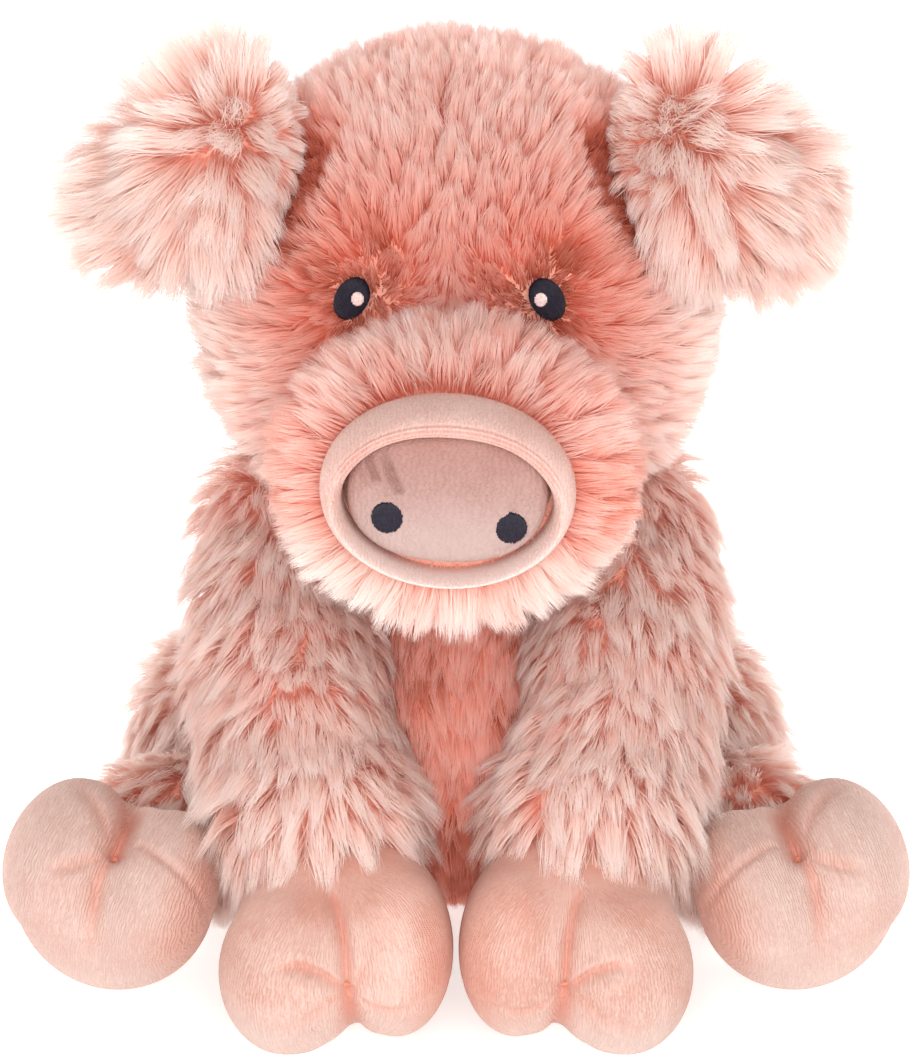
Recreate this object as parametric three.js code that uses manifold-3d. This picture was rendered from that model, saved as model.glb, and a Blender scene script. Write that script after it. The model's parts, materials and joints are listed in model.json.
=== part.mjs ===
// A stuffed toy pig that sits on its seat with its trotters out in front.
// Long-haired covers are filled with fibre, and short-haired velour makes the snout and the trotters.
// Millimetres, +Z up. The pig faces -Y, so its left side is +X.
// The origin is the middle of the flat that the seat rests on.
// A long-haired cover is drawn at the level that its brushed pile reaches on average.
import * as THREE from 'three';
import { mergeVertices } from 'three/addons/utils/BufferGeometryUtils.js';
import Module from 'manifold-3d';

const wasm = await Module();
wasm.setup();

// Sizes of the body
const bodyWidth = 134;
const bodyDepth = 118;
const seatHeight = 126;
const neckWidth = 92;
const neckHeight = 110;
const neckForward = 10;
const bodyBlend = 5;

// Sizes of the head, its centre placed from the middle of the neck
const headWidth = 140;
const headDepth = 130;
const headHeight = 142;
const headRise = 73;
const headForward = 25;

// Sizes of the muzzle, and of the snout whose middle line runs forward and a little down
const muzzleWidth = 93;
const muzzleHeight = 77;
const muzzleLength = 68;
const muzzleBelowHead = 33;
const muzzleAheadOfHead = 76;
const muzzlePitch = 4;
const snoutAboveMuzzle = 6;
const faceAside = 1.8;
const snoutPitch = 11;
const snoutRoll = 3;
const rimWidth = 65;
const rimHeight = 49;
const rimThickness = 7;
const rimLength = 20;
const rimShowing = 11;
const padThickness = 17;
const padCrown = 5;
const padRecess = 2.5;
const nostrilDiameter = 8;
const nostrilSpacing = 32;
const nostrilBelowMiddle = 8;
const nostrilThickness = 2.4;

// Sizes of the eyes
const eyeSpacing = 53;
const eyeAboveHeadMiddle = 9.5;
const eyeWidth = 10;
const eyeHeight = 11.4;
const eyeThickness = 4.4;
const eyeDepthInPile = 3.2;
const eyeTilt = 14;
const glintDiameter = 3;
const glintThickness = 1.2;
const glintInward = 1.9;
const glintUp = 1.2;

// Sizes of an ear: the flap that folds forward beside the forehead, and its outer half that hangs
const earFlapWidth = 49;
const earFlapHeight = 60;
const earThickness = 30;
const earTipWidth = 38;
const earTipHeight = 45;
const earBlend = 6;
const earFlapTurn = 12;
const earTipTurn = 16;
const earFlapTilt = 10;

// Sizes of a front leg and its trotter
const shoulderWidth = 56;
const shoulderSpacing = 88;
const shoulderAboveNeck = 6;
const shoulderForward = 34;
const foreLegWidth = 60;
const foreWristWidth = 55;
const foreWristHeight = 54;
const foreWristBehindTrotter = 19;
const foreWristOutward = 5;
const foreLegBlend = 3;
const foreTrotterWidth = 60;
const foreTrotterHeight = 51;
const foreTrotterLength = 60;
const foreTrotterGap = 1;
const foreTrotterForward = 116;
const foreTrotterPitch = 14;
const foreTrotterSplay = 3;

// Sizes of a hind leg and its trotter
const haunchWidth = 58;
const haunchHeight = 84;
const haunchSpacing = 130;
const haunchForward = 6;
const hindShankWidth = 46;
const hindShankHeight = 34;
const hindShankForward = 55;
const hindShankSpacing = 160;
const hindLegBlend = 8;
const hindTrotterWidth = 58;
const hindTrotterHeight = 50;
const hindTrotterLength = 62;
const hindTrotterSpacing = 185;
const hindTrotterForward = 81;
const hindTrotterPitch = -46;
const hindTrotterSplay = 12;
const hindTrotterRoll = -16;

// Sizes shared by the four trotters
const trotterBlend = 2.6;
const toeThreadDiameter = 1.8;
const toeThreadArc = 24;
const toeThreadTurn = -6;

// Sizes of the curly tail
const tailThickness = 9;
const tailRoot = 13;
const tailCurlDiameter = 22;
const tailCurlLength = 20;
const tailHeight = 46;
const tailTurns = 1.25;
const tailRootOut = 8;

// Sizes inside: the cover with its pile, and the pouch of pellets that weighs the seat down
const coverWall = 8;
const pouchWidth = 84;
const pouchDepth = 74;
const pouchHeight = 30;

// How far the soft joints turn, in degrees: the head nods down, and each leg lifts
const headNod = 8;
const foreLegLift = 15;
const hindLegLift = 10;

// Clearances: between pieces that are sewn or stuffed together, and around a joint that turns
const seamGap = 0.3;
const turnGap = 0.8;
const headOverShoulder = 5;
const nodClearance = 5;
const collarAboveNeck = 26;
const restDepth = 0.5;
const cutOverrun = 20;

// Counts that set how finely a soft form is faceted
const outerDetail = 3;
const eyeDetail = 2;
const innerDetail = 1;
const rimSteps = 28;
const rimSides = 8;
const pocketSides = 16;
const padSteps = 5;
const tailSteps = 12;
const tailSides = 6;
const threadSteps = 4;
const threadSides = 6;
const foreLegLobes = 5;
const bisections = 22;

// Colours, as seen in soft white light
const pileMaterial = new THREE.MeshStandardMaterial({ color: 0xe3ac9b, roughness: 0.95, metalness: 0 });
const velourMaterial = new THREE.MeshStandardMaterial({ color: 0xe5b4a6, roughness: 0.85, metalness: 0 });
const threadMaterial = new THREE.MeshStandardMaterial({ color: 0x3b2530, roughness: 0.5, metalness: 0 });
const glintMaterial = new THREE.MeshStandardMaterial({ color: 0xe9d2cb, roughness: 0.5, metalness: 0 });
const toeThreadMaterial = new THREE.MeshStandardMaterial({ color: 0xc98672, roughness: 0.6, metalness: 0 });
const fibreMaterial = new THREE.MeshStandardMaterial({ color: 0xf4f2ee, roughness: 1, metalness: 0 });
const pouchMaterial = new THREE.MeshStandardMaterial({ color: 0xd9d6cc, roughness: 0.9, metalness: 0 });

const half = (length) => length / 2;
const point = (x, y, z) => new THREE.Vector3(x, y, z);
const radians = (degrees) => THREE.MathUtils.degToRad(degrees);
const noTurn = new THREE.Quaternion();

// The turn that pitches a piece down about X, rolls it about Y and splays it about Z, in degrees.
function turned(pitch, roll = 0, splay = 0) {
  const euler = new THREE.Euler(radians(pitch), radians(roll), radians(splay), 'ZYX');
  return new THREE.Quaternion().setFromEuler(euler);
}

// One rounded swelling of a soft form: an ellipsoid at a centre, with its turn.
function lobe(centre, width, depth, height, turn = noTurn) {
  return { centre, radii: point(half(width), half(depth), half(height)), turn };
}

// About how far a point lies outside a lobe whose surface is grown by a length.
function distanceTo(one, place, grow) {
  const local = place.clone().sub(one.centre).applyQuaternion(one.turn.clone().invert());
  const radii = one.radii.clone().addScalar(grow);
  return (local.divide(radii).length() - 1) * Math.min(radii.x, radii.y, radii.z);
}

// Lobes flow into each other: positive inside the joined form, negative outside.
function fullness(form, place, grow) {
  let sum = 0;
  for (const one of form.lobes) sum += Math.exp(-distanceTo(one, place, grow) / form.blend);
  return sum - 1;
}

// How far the surface lies from the form's own middle, along one direction.
function reach(form, direction, grow) {
  let inside = 0;
  let outside = form.span;
  for (let i = 0; i < bisections; i += 1) {
    const middle = half(inside + outside);
    const place = form.from.clone().addScaledVector(direction, middle);
    if (fullness(form, place, grow) > 0) inside = middle;
    else outside = middle;
  }
  return half(inside + outside);
}

// A soft form: its lobes, the blend between them, and the middle and turn that its surface is drawn from.
function softForm(lobes, blend, from, detail, turn = noTurn) {
  const spread = point(0, 0, 0);
  let span = 0;
  for (const one of lobes) {
    const out = one.centre.clone().sub(from);
    const size = Math.max(one.radii.x, one.radii.y, one.radii.z);
    span = Math.max(span, out.length() + size + blend + cutOverrun);
    out.applyQuaternion(turn.clone().invert());
    const offset = point(Math.abs(out.x), Math.abs(out.y), Math.abs(out.z));
    spread.max(offset.add(one.radii));
  }
  return { lobes, blend, from, detail, turn, span, spread: spread.divideScalar(spread.length()) };
}

// The closed surface of a soft form, grown or shrunk by a length.
// Edges of its mesh run down the middle in front, where a trotter has its cleft.
function surface(form, grow = 0, detail = form.detail) {
  const sphere = new THREE.IcosahedronGeometry(1, detail).rotateY(half(Math.PI));
  sphere.deleteAttribute('normal');
  sphere.deleteAttribute('uv');
  const geometry = mergeVertices(sphere);
  const places = geometry.attributes.position;
  for (let i = 0; i < places.count; i += 1) {
    const direction = new THREE.Vector3().fromBufferAttribute(places, i).multiply(form.spread);
    direction.normalize().applyQuaternion(form.turn);
    const place = form.from.clone().addScaledVector(direction, reach(form, direction, grow));
    places.setXYZ(i, place.x, place.y, place.z);
  }
  return geometry;
}

// A closed geometry as a solid that can be joined and cut.
function toSolid(geometry) {
  const bare = geometry.clone();
  for (const name of Object.keys(bare.attributes)) if (name !== 'position') bare.deleteAttribute(name);
  const merged = mergeVertices(bare);
  const vertProperties = new Float32Array(merged.attributes.position.array);
  const triVerts = new Uint32Array(merged.index.array);
  return new wasm.Manifold(new wasm.Mesh({ numProp: 3, vertProperties, triVerts }));
}

// A solid back as a geometry.
function toGeometry(solid) {
  const mesh = solid.getMesh();
  const geometry = new THREE.BufferGeometry();
  geometry.setAttribute('position', new THREE.BufferAttribute(new Float32Array(mesh.vertProperties), 3));
  geometry.setIndex(new THREE.BufferAttribute(new Uint32Array(mesh.triVerts), 1));
  return geometry;
}

const formSolid = (form, grow = 0, detail = form.detail) => toSolid(surface(form, grow, detail));

// What a smaller piece is cut back by where it meets a form.
const around = (form) => formSolid(form, seamGap);

// A mirror image across the pig's middle plane, with its faces still pointing out.
function mirrored(geometry) {
  const copy = geometry.clone().scale(-1, 1, 1);
  const index = copy.index.array;
  for (let i = 0; i < index.length; i += 3) {
    [index[i + 1], index[i + 2]] = [index[i + 2], index[i + 1]];
  }
  return copy;
}

// An ellipsoid as a solid, grown by a length.
function ellipsoidSolid(one, grow, detail) {
  return formSolid(softForm([one], 1, one.centre, detail), grow);
}

// Everything under the surface that the toy rests on.
function groundSolid() {
  const reachOut = hindTrotterSpacing + bodyDepth + foreTrotterForward + cutOverrun;
  const ground = new THREE.BoxGeometry(reachOut, reachOut, cutOverrun);
  ground.translate(0, 0, -half(cutOverrun));
  return toSolid(ground);
}
const ground = groundSolid();

// Places that the pieces share
const neckPlace = point(0, -neckForward, neckHeight);
const headPlace = neckPlace.clone().add(point(0, -headForward, headRise));
const muzzlePlace = headPlace.clone().add(point(0, -muzzleAheadOfHead, -muzzleBelowHead));
const shoulderPlace = point(half(shoulderSpacing), -shoulderForward, neckHeight + shoulderAboveNeck);
const haunchPlace = point(half(haunchSpacing), -haunchForward, half(haunchHeight) - restDepth);

// The body: a wide seat that narrows into a round top, which the head sits over.
const seatLobe = lobe(point(0, 0, half(seatHeight) - restDepth), bodyWidth, bodyDepth, seatHeight);
const neckLobe = lobe(neckPlace, neckWidth, neckWidth, neckWidth);
const bodyMiddle = point(0, 0, half(neckHeight + half(neckWidth)));
const bodyForm = softForm([seatLobe, neckLobe], bodyBlend, bodyMiddle, outerDetail);

// The head: one round form, with a hollow below for the top of the body.
const headLobe = lobe(headPlace, headWidth, headDepth, headHeight);
const headForm = softForm([headLobe], bodyBlend, headPlace, outerDetail);

// The muzzle: a furry ring round the snout.
const muzzleTurn = turned(muzzlePitch);
const muzzleLobe = lobe(muzzlePlace, muzzleWidth, muzzleLength, muzzleHeight, muzzleTurn);
const muzzleForm = softForm([muzzleLobe], bodyBlend, muzzlePlace, outerDetail);

// The snout's own middle, its turn, and the point at a place sideways, ahead of and above that middle.
const snoutPlace = muzzlePlace.clone().add(point(-faceAside, 0, snoutAboveMuzzle));
const snoutTurn = turned(snoutPitch, snoutRoll);

function onSnout(sideways, ahead, above) {
  return point(sideways, -ahead, above).applyQuaternion(snoutTurn).add(snoutPlace);
}
const rimFront = half(muzzleLength) - half(rimLength) + rimShowing;

// The padded rim of the snout: a ring swept round an oval, longer than it is thick.
function rimGeometry(grow) {
  const places = [];
  const index = [];
  for (let i = 0; i < rimSteps; i += 1) {
    const around = (i / rimSteps) * 2 * Math.PI;
    for (let j = 0; j < rimSides; j += 1) {
      const across = (j / rimSides) * 2 * Math.PI;
      const inset = half(rimThickness) - (half(rimThickness) + grow) * Math.cos(across);
      const x = (half(rimWidth) - inset) * Math.cos(around);
      const z = (half(rimHeight) - inset) * Math.sin(around);
      const ahead = rimFront - half(rimLength) + (half(rimLength) + grow) * Math.sin(across);
      const place = onSnout(x, ahead, z);
      places.push(place.x, place.y, place.z);
      const nextStep = ((i + 1) % rimSteps) * rimSides;
      const nextSide = (j + 1) % rimSides;
      const corner = i * rimSides;
      index.push(corner + j, nextStep + j, nextStep + nextSide);
      index.push(corner + j, nextStep + nextSide, corner + nextSide);
    }
  }
  const geometry = new THREE.BufferGeometry();
  geometry.setAttribute('position', new THREE.Float32BufferAttribute(places, 3));
  geometry.setIndex(index);
  return geometry;
}

// The oval passage into the muzzle that the rim sits in, from just behind the rim to the front.
function snoutPassage() {
  const length = rimLength + cutOverrun;
  const passage = new THREE.CylinderGeometry(1, 1, length, rimSteps);
  passage.scale(half(rimWidth) + seamGap, 1, half(rimHeight) + seamGap);
  passage.translate(0, rimLength - rimFront + seamGap - half(length), 0);
  passage.applyQuaternion(snoutTurn);
  passage.translate(snoutPlace.x, snoutPlace.y, snoutPlace.z);
  return toSolid(passage);
}

// The snout pad: a cushion that fills the rim, with a low crown to the front.
const padWidth = rimWidth - rimThickness * 2 - seamGap * 2;
const padHeight = rimHeight - rimThickness * 2 - seamGap * 2;

// How far ahead of the snout's middle the pad's face lies, at a place sideways and above.
function padFace(sideways, above) {
  const off = Math.hypot(sideways / half(padWidth), above / half(padHeight));
  return rimFront - padRecess - padCrown * (1 - Math.cos(Math.min(off, 1) * half(Math.PI)));
}

function padGeometry() {
  const profile = [new THREE.Vector2(0, padFace(0, 0) - padThickness)];
  profile.push(new THREE.Vector2(1, padFace(0, 0) - padThickness));
  for (let i = padSteps; i >= 0; i -= 1) {
    const off = i / padSteps;
    profile.push(new THREE.Vector2(off, padFace(off * half(padWidth), 0)));
  }
  const pad = new THREE.LatheGeometry(profile, rimSteps);
  pad.scale(half(padWidth), 1, half(padHeight));
  pad.rotateX(Math.PI);
  pad.applyQuaternion(snoutTurn);
  pad.translate(snoutPlace.x, snoutPlace.y, snoutPlace.z);
  return pad;
}

function nostrilLobe(side) {
  const sideways = half(nostrilSpacing) * side;
  const place = onSnout(sideways, padFace(sideways, nostrilBelowMiddle), -nostrilBelowMiddle);
  return lobe(place, nostrilDiameter, nostrilThickness, nostrilDiameter, snoutTurn);
}

// The point on the head at a place sideways and above its middle, sunk by a depth, and the turn to face out.
function onHead(sideways, above, depth) {
  const off = (sideways / half(headWidth)) ** 2 + (above / half(headHeight)) ** 2;
  const place = point(sideways, -half(headDepth) * Math.sqrt(1 - off), above);
  const squares = point(half(headWidth), half(headDepth), half(headHeight)).multiply(
    point(half(headWidth), half(headDepth), half(headHeight)),
  );
  const outward = place.clone().divide(squares).normalize();
  const turn = new THREE.Quaternion().setFromUnitVectors(point(0, -1, 0), outward);
  return { place: place.addScaledVector(outward, -depth).add(headPlace), outward, turn };
}

const tiltAbout = (degrees) => new THREE.Quaternion().setFromAxisAngle(point(0, 1, 0), radians(degrees));

// Where an eye is sewn, low in the pile, and how it is turned.
function eyeSeat(side) {
  const seat = onHead(half(eyeSpacing) * side - faceAside, eyeAboveHeadMiddle, eyeDepthInPile);
  return { place: seat.place, turn: seat.turn.multiply(tiltAbout(eyeTilt * side)) };
}

// An eye: a flat oval worked in dark thread.
function eyeLobe(side) {
  const { place, turn } = eyeSeat(side);
  return lobe(place, eyeWidth, eyeThickness, eyeHeight, turn);
}

// The pocket in the pile that an eye looks out of, open to the front.
function eyePocket(side) {
  const { place, turn } = eyeSeat(side);
  const pocket = new THREE.CylinderGeometry(1, 1, eyeThickness + cutOverrun, pocketSides);
  pocket.scale(half(eyeWidth) + seamGap, 1, half(eyeHeight) + seamGap);
  pocket.translate(0, -half(cutOverrun), 0);
  pocket.applyQuaternion(turn);
  pocket.translate(place.x, place.y, place.z);
  return toSolid(pocket);
}

// The glint: a pale spot sewn on the eye's face, towards the snout.
function glintLobe(side) {
  const { place, turn } = eyeSeat(side);
  const local = point(-glintInward * side, -half(eyeThickness) - half(glintThickness), glintUp);
  return lobe(local.applyQuaternion(turn).add(place), glintDiameter, glintThickness, glintDiameter, turn);
}

// An ear: a flap that is sewn beside the top of the head and folds forward, and its hanging tip.
const earFlapShares = { x: 0.8, y: -0.54, z: 0.62 };
const earTipShares = { x: 1.17, y: -0.34, z: 0.44 };

function besideHead(shares) {
  const out = point(shares.x * half(headWidth), shares.y * half(headDepth), shares.z * half(headHeight));
  return headPlace.clone().add(out);
}
const flapTurn = turned(-earFlapTilt).multiply(tiltAbout(-earFlapTurn));
const tipTurn = turned(-earFlapTilt).multiply(tiltAbout(-earTipTurn));
const flapLobe = lobe(besideHead(earFlapShares), earFlapWidth, earThickness, earFlapHeight, flapTurn);
const tipLobe = lobe(besideHead(earTipShares), earTipWidth, earThickness, earTipHeight, tipTurn);
const earMiddle = flapLobe.centre.clone().lerp(tipLobe.centre, half(1));
const earForm = softForm([flapLobe, tipLobe], earBlend, earMiddle, outerDetail);

// A cloven trotter: a heel and two toes side by side, turned as the leg sets it down.
const heelShares = { back: 0.08, width: 0.92, length: 0.84 };
const toeShares = { side: 0.235, ahead: 0.2, down: 0.03, width: 0.53, length: 0.62, height: 0.88 };

function trotterForm(place, width, height, length, turn) {
  const at = (x, y, z) => point(x, y, z).applyQuaternion(turn).add(place);
  const heel = at(0, heelShares.back * length, 0);
  const lobes = [lobe(heel, heelShares.width * width, heelShares.length * length, height, turn)];
  for (const side of [-1, 1]) {
    const toe = at(side * toeShares.side * width, -toeShares.ahead * length, -toeShares.down * height);
    const toeLength = toeShares.length * length;
    lobes.push(lobe(toe, toeShares.width * width, toeLength, toeShares.height * height, turn));
  }
  return softForm(lobes, trotterBlend, place, outerDetail, turn);
}

// How far a form reaches below its middle.
function depthBelow(form) {
  const places = surface(form).attributes.position;
  let lowest = form.from.z;
  for (let i = 0; i < places.count; i += 1) lowest = Math.min(lowest, places.getZ(i));
  return form.from.z - lowest;
}

// A trotter set down so that the ground takes a shallow flat off it.
function restedTrotter(x, y, width, height, length, turn) {
  const held = trotterForm(point(x, y, half(length)), width, height, length, turn);
  return trotterForm(point(x, y, depthBelow(held) - restDepth), width, height, length, turn);
}

const foreTrotterX = half(foreTrotterWidth) + half(foreTrotterGap);
const foreTrotter = restedTrotter(
  foreTrotterX, -foreTrotterForward, foreTrotterWidth, foreTrotterHeight, foreTrotterLength,
  turned(foreTrotterPitch, 0, foreTrotterSplay),
);
const hindTrotter = restedTrotter(
  half(hindTrotterSpacing), -hindTrotterForward, hindTrotterWidth, hindTrotterHeight, hindTrotterLength,
  turned(hindTrotterPitch, hindTrotterRoll, hindTrotterSplay),
);

// The thread that draws the toes together, a short arc in the cleft.
function toeThread(form, grow) {
  const places = [];
  for (let i = 0; i <= threadSteps; i += 1) {
    const angle = radians(toeThreadTurn) + radians(toeThreadArc) * (i / threadSteps - half(1));
    const direction = point(0, -Math.cos(angle), Math.sin(angle)).applyQuaternion(form.turn);
    const out = reach(form, direction, 0) + half(toeThreadDiameter);
    places.push(form.from.clone().addScaledVector(direction, out));
  }
  const section = new THREE.Shape();
  section.absarc(0, 0, half(toeThreadDiameter) + grow, 0, 2 * Math.PI);
  return new THREE.ExtrudeGeometry(section, {
    steps: threadSteps, curveSegments: half(threadSides), extrudePath: new THREE.CatmullRomCurve3(places),
  });
}

// A front leg: a sleeve from the shoulder down to the wrist, which the trotter fills.
const wristPlace = point(
  foreTrotterX + foreWristOutward, foreWristBehindTrotter - foreTrotterForward, foreWristHeight,
);
const shoulderLobe = lobe(shoulderPlace, shoulderWidth, shoulderWidth, shoulderWidth);

// How wide the front leg is at a share of the way down: fullest in the middle.
function foreLegWidthAt(share) {
  const straight = THREE.MathUtils.lerp(shoulderWidth, foreWristWidth, share);
  return straight + (foreLegWidth - half(shoulderWidth + foreWristWidth)) * Math.sin(share * Math.PI);
}

function foreLegLobe(i) {
  const share = i / (foreLegLobes - 1);
  const width = foreLegWidthAt(share);
  return lobe(shoulderPlace.clone().lerp(wristPlace, share), width, width, width);
}
const foreLegForm = softForm(
  Array.from({ length: foreLegLobes }, (_, i) => foreLegLobe(i)),
  foreLegBlend, shoulderPlace.clone().lerp(wristPlace, half(1)), outerDetail,
);

// A hind leg: a round haunch beside the seat and a short shank out to the trotter.
const haunchLobe = lobe(haunchPlace, haunchWidth, haunchHeight, haunchHeight);
const shankPlace = point(half(hindShankSpacing), -hindShankForward, hindShankHeight);
const hindLegForm = softForm(
  [haunchLobe, lobe(shankPlace, hindShankWidth, hindShankWidth, hindShankWidth)],
  hindLegBlend, haunchPlace.clone().lerp(shankPlace, half(1)), outerDetail,
);

// The tail: a short cord of velour that curls once behind the seat.
const tailRest = (tailHeight - half(seatHeight)) / half(seatHeight);
const tailRootPlace = point(0, half(bodyDepth) * Math.sqrt(1 - tailRest ** 2), tailHeight);
const tailRootLobe = lobe(tailRootPlace, tailRoot, tailRoot, tailRoot);

function tailSolid() {
  const places = [tailRootPlace];
  const curl = half(tailCurlDiameter);
  for (let i = 1; i <= tailSteps; i += 1) {
    const share = i / tailSteps;
    const angle = share * tailTurns * 2 * Math.PI;
    const out = tailRootOut + tailCurlLength * share;
    places.push(tailRootPlace.clone().add(point(curl * Math.sin(angle), out, curl * (1 - Math.cos(angle)))));
  }
  const section = new THREE.Shape();
  section.absarc(0, 0, half(tailThickness), 0, 2 * Math.PI);
  const cord = new THREE.ExtrudeGeometry(section, {
    steps: tailSteps, curveSegments: half(tailSides), extrudePath: new THREE.CatmullRomCurve3(places),
  });
  const tip = lobe(places[tailSteps], tailThickness, tailThickness, tailThickness);
  const root = ellipsoidSolid(tailRootLobe, 0, innerDetail);
  return toSolid(cord).add(root).add(ellipsoidSolid(tip, 0, innerDetail));
}

// The pouch of pellets in the bottom of the seat.
const pouchLobe = lobe(point(0, 0, coverWall + half(pouchHeight)), pouchWidth, pouchDepth, pouchHeight);

const pig = new THREE.Group();

function add(name, solid, material) {
  pig.add(namedMesh(name, toGeometry(solid), material));
}

function namedMesh(name, geometry, material) {
  const mesh = new THREE.Mesh(geometry, material);
  mesh.name = name;
  return mesh;
}

// A piece for each side: the solid drawn is the pig's left one.
function addPair(name, solid, material) {
  const geometry = toGeometry(solid);
  pig.add(namedMesh(`${name}_left`, geometry, material));
  pig.add(namedMesh(`${name}_right`, mirrored(geometry), material));
}

// Both shoulders or both haunches at once, grown by a clearance, to cut their sockets.
function bothSides(one, grow, detail) {
  const geometry = surface(softForm([one], 1, one.centre, detail), grow);
  return toSolid(geometry).add(toSolid(mirrored(geometry)));
}

function buildBody() {
  const shoulders = bothSides(shoulderLobe, turnGap, outerDetail);
  const haunches = bothSides(haunchLobe, turnGap, outerDetail);
  const tailSocket = ellipsoidSolid(tailRootLobe, turnGap, innerDetail);
  const cover = formSolid(bodyForm)
    .subtract(formSolid(bodyForm, -coverWall, innerDetail))
    .subtract(shoulders).subtract(haunches).subtract(tailSocket).subtract(ground);
  add('body_cover', cover, pileMaterial);
  const filled = formSolid(bodyForm, -coverWall - seamGap, innerDetail)
    .subtract(shoulders).subtract(haunches);
  const pouch = ellipsoidSolid(pouchLobe, 0, innerDetail).intersect(filled);
  add('body_stuffing', filled.subtract(ellipsoidSolid(pouchLobe, seamGap, innerDetail)), fibreMaterial);
  add('seat_pellet_pouch', pouch, pouchMaterial);
}

// What the head clears as it nods: the round top of the body close by, and more room lower down.
function underHead() {
  const span = bodyWidth + headWidth;
  const above = new THREE.BoxGeometry(span, span, bodyWidth);
  above.translate(0, 0, neckHeight + collarAboveNeck + half(bodyWidth));
  const collar = formSolid(bodyForm, nodClearance).subtract(toSolid(above));
  const shoulders = bothSides(shoulderLobe, headOverShoulder, outerDetail);
  return ellipsoidSolid(neckLobe, turnGap, outerDetail).add(collar).add(shoulders);
}

function buildHead() {
  const below = underHead();
  const cover = formSolid(headForm)
    .subtract(formSolid(headForm, -coverWall, innerDetail))
    .subtract(below).subtract(eyePocket(1)).subtract(eyePocket(-1));
  add('head_cover', cover, pileMaterial);
  const stuffing = formSolid(headForm, -coverWall - seamGap, innerDetail).subtract(below);
  add('head_stuffing', stuffing, fibreMaterial);
  const head = around(headForm);
  const muzzle = formSolid(muzzleForm)
    .subtract(formSolid(muzzleForm, -coverWall, innerDetail))
    .subtract(head).subtract(snoutPassage());
  add('muzzle_cover', muzzle, pileMaterial);
  const filled = formSolid(muzzleForm, -coverWall - seamGap, innerDetail);
  add('muzzle_stuffing', filled.subtract(head).subtract(snoutPassage()), fibreMaterial);
  add('snout_rim', toSolid(rimGeometry(0)), velourMaterial);
  add('snout_pad', toSolid(padGeometry()).subtract(bothNostrils(seamGap)), velourMaterial);
  for (const [name, side] of [['left', 1], ['right', -1]]) {
    add(`nostril_${name}`, ellipsoidSolid(nostrilLobe(side), 0, innerDetail), threadMaterial);
    add(`eye_${name}`, ellipsoidSolid(eyeLobe(side), 0, eyeDetail), threadMaterial);
    add(`eye_glint_${name}`, ellipsoidSolid(glintLobe(side), 0, innerDetail), glintMaterial);
  }
  addPair('ear', formSolid(earForm).subtract(head), pileMaterial);
}

function bothNostrils(grow) {
  const left = ellipsoidSolid(nostrilLobe(1), grow, innerDetail);
  return left.add(ellipsoidSolid(nostrilLobe(-1), grow, innerDetail));
}

// A form as a smaller piece meets it when either has turned about a joint's place by an angle.
function aroundTurned(form, place, angle) {
  const geometry = surface(form, seamGap).translate(-place.x, -place.y, -place.z);
  return toSolid(geometry.applyQuaternion(turned(angle)).translate(place.x, place.y, place.z));
}

// The head as a front leg meets it: at rest, nodded down, and while the leg lifts.
function headMet() {
  return around(headForm)
    .add(aroundTurned(headForm, neckPlace, headNod))
    .add(aroundTurned(headForm, shoulderPlace, half(foreLegLift)))
    .add(aroundTurned(headForm, shoulderPlace, foreLegLift));
}

// A leg's cover and stuffing, cut by the body around its joint, by the trotter and by what else it meets.
function buildLegs(name, legForm, jointLobe, bodyMet, trotter, others) {
  const body = bodyMet.subtract(ellipsoidSolid(jointLobe, 0, outerDetail));
  const foot = around(trotter);
  const cover = formSolid(legForm)
    .subtract(formSolid(legForm, -coverWall, innerDetail))
    .subtract(body).subtract(others).subtract(foot).subtract(ground);
  addPair(`${name}_leg_cover`, cover, pileMaterial);
  const stuffing = formSolid(legForm, -coverWall - seamGap, innerDetail)
    .subtract(body).subtract(foot).subtract(others);
  addPair(`${name}_leg_stuffing`, stuffing, fibreMaterial);
  const groove = toSolid(toeThread(trotter, seamGap));
  addPair(`${name}_trotter`, formSolid(trotter).subtract(groove).subtract(ground), velourMaterial);
  addPair(`${name}_toe_thread`, toSolid(toeThread(trotter, 0)), toeThreadMaterial);
}

buildBody();
buildHead();
const bodyPassed = around(bodyForm).add(aroundTurned(bodyForm, haunchPlace, hindLegLift));
buildLegs('front', foreLegForm, shoulderLobe, around(bodyForm), foreTrotter, headMet());
buildLegs('hind', hindLegForm, haunchLobe, bodyPassed, hindTrotter, ground);
add('tail', tailSolid(), velourMaterial);

export default pig;
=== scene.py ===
# %% [markdown]
# # A stuffed pig with long hair, a velour snout and cloven velour trotters
#
# The toy is sewn from two cloths. A long-haired plush covers the head, muzzle, ears, body and legs, and
# a short velour makes the snout and the trotters. In Blender each cover is made as the real one is:
# first the backing cloth in the shape that its stuffing gives it, then the hair that stands on it,
# brushed the way the photograph shows. The sizes and places below are in metres, and the pig faces -Y
# with +Z up.

# %% Load the frame that every piece is fitted to
import json
import math

import bmesh
import bpy
import numpy as np
from mathutils import Euler, Matrix, Vector

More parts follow.
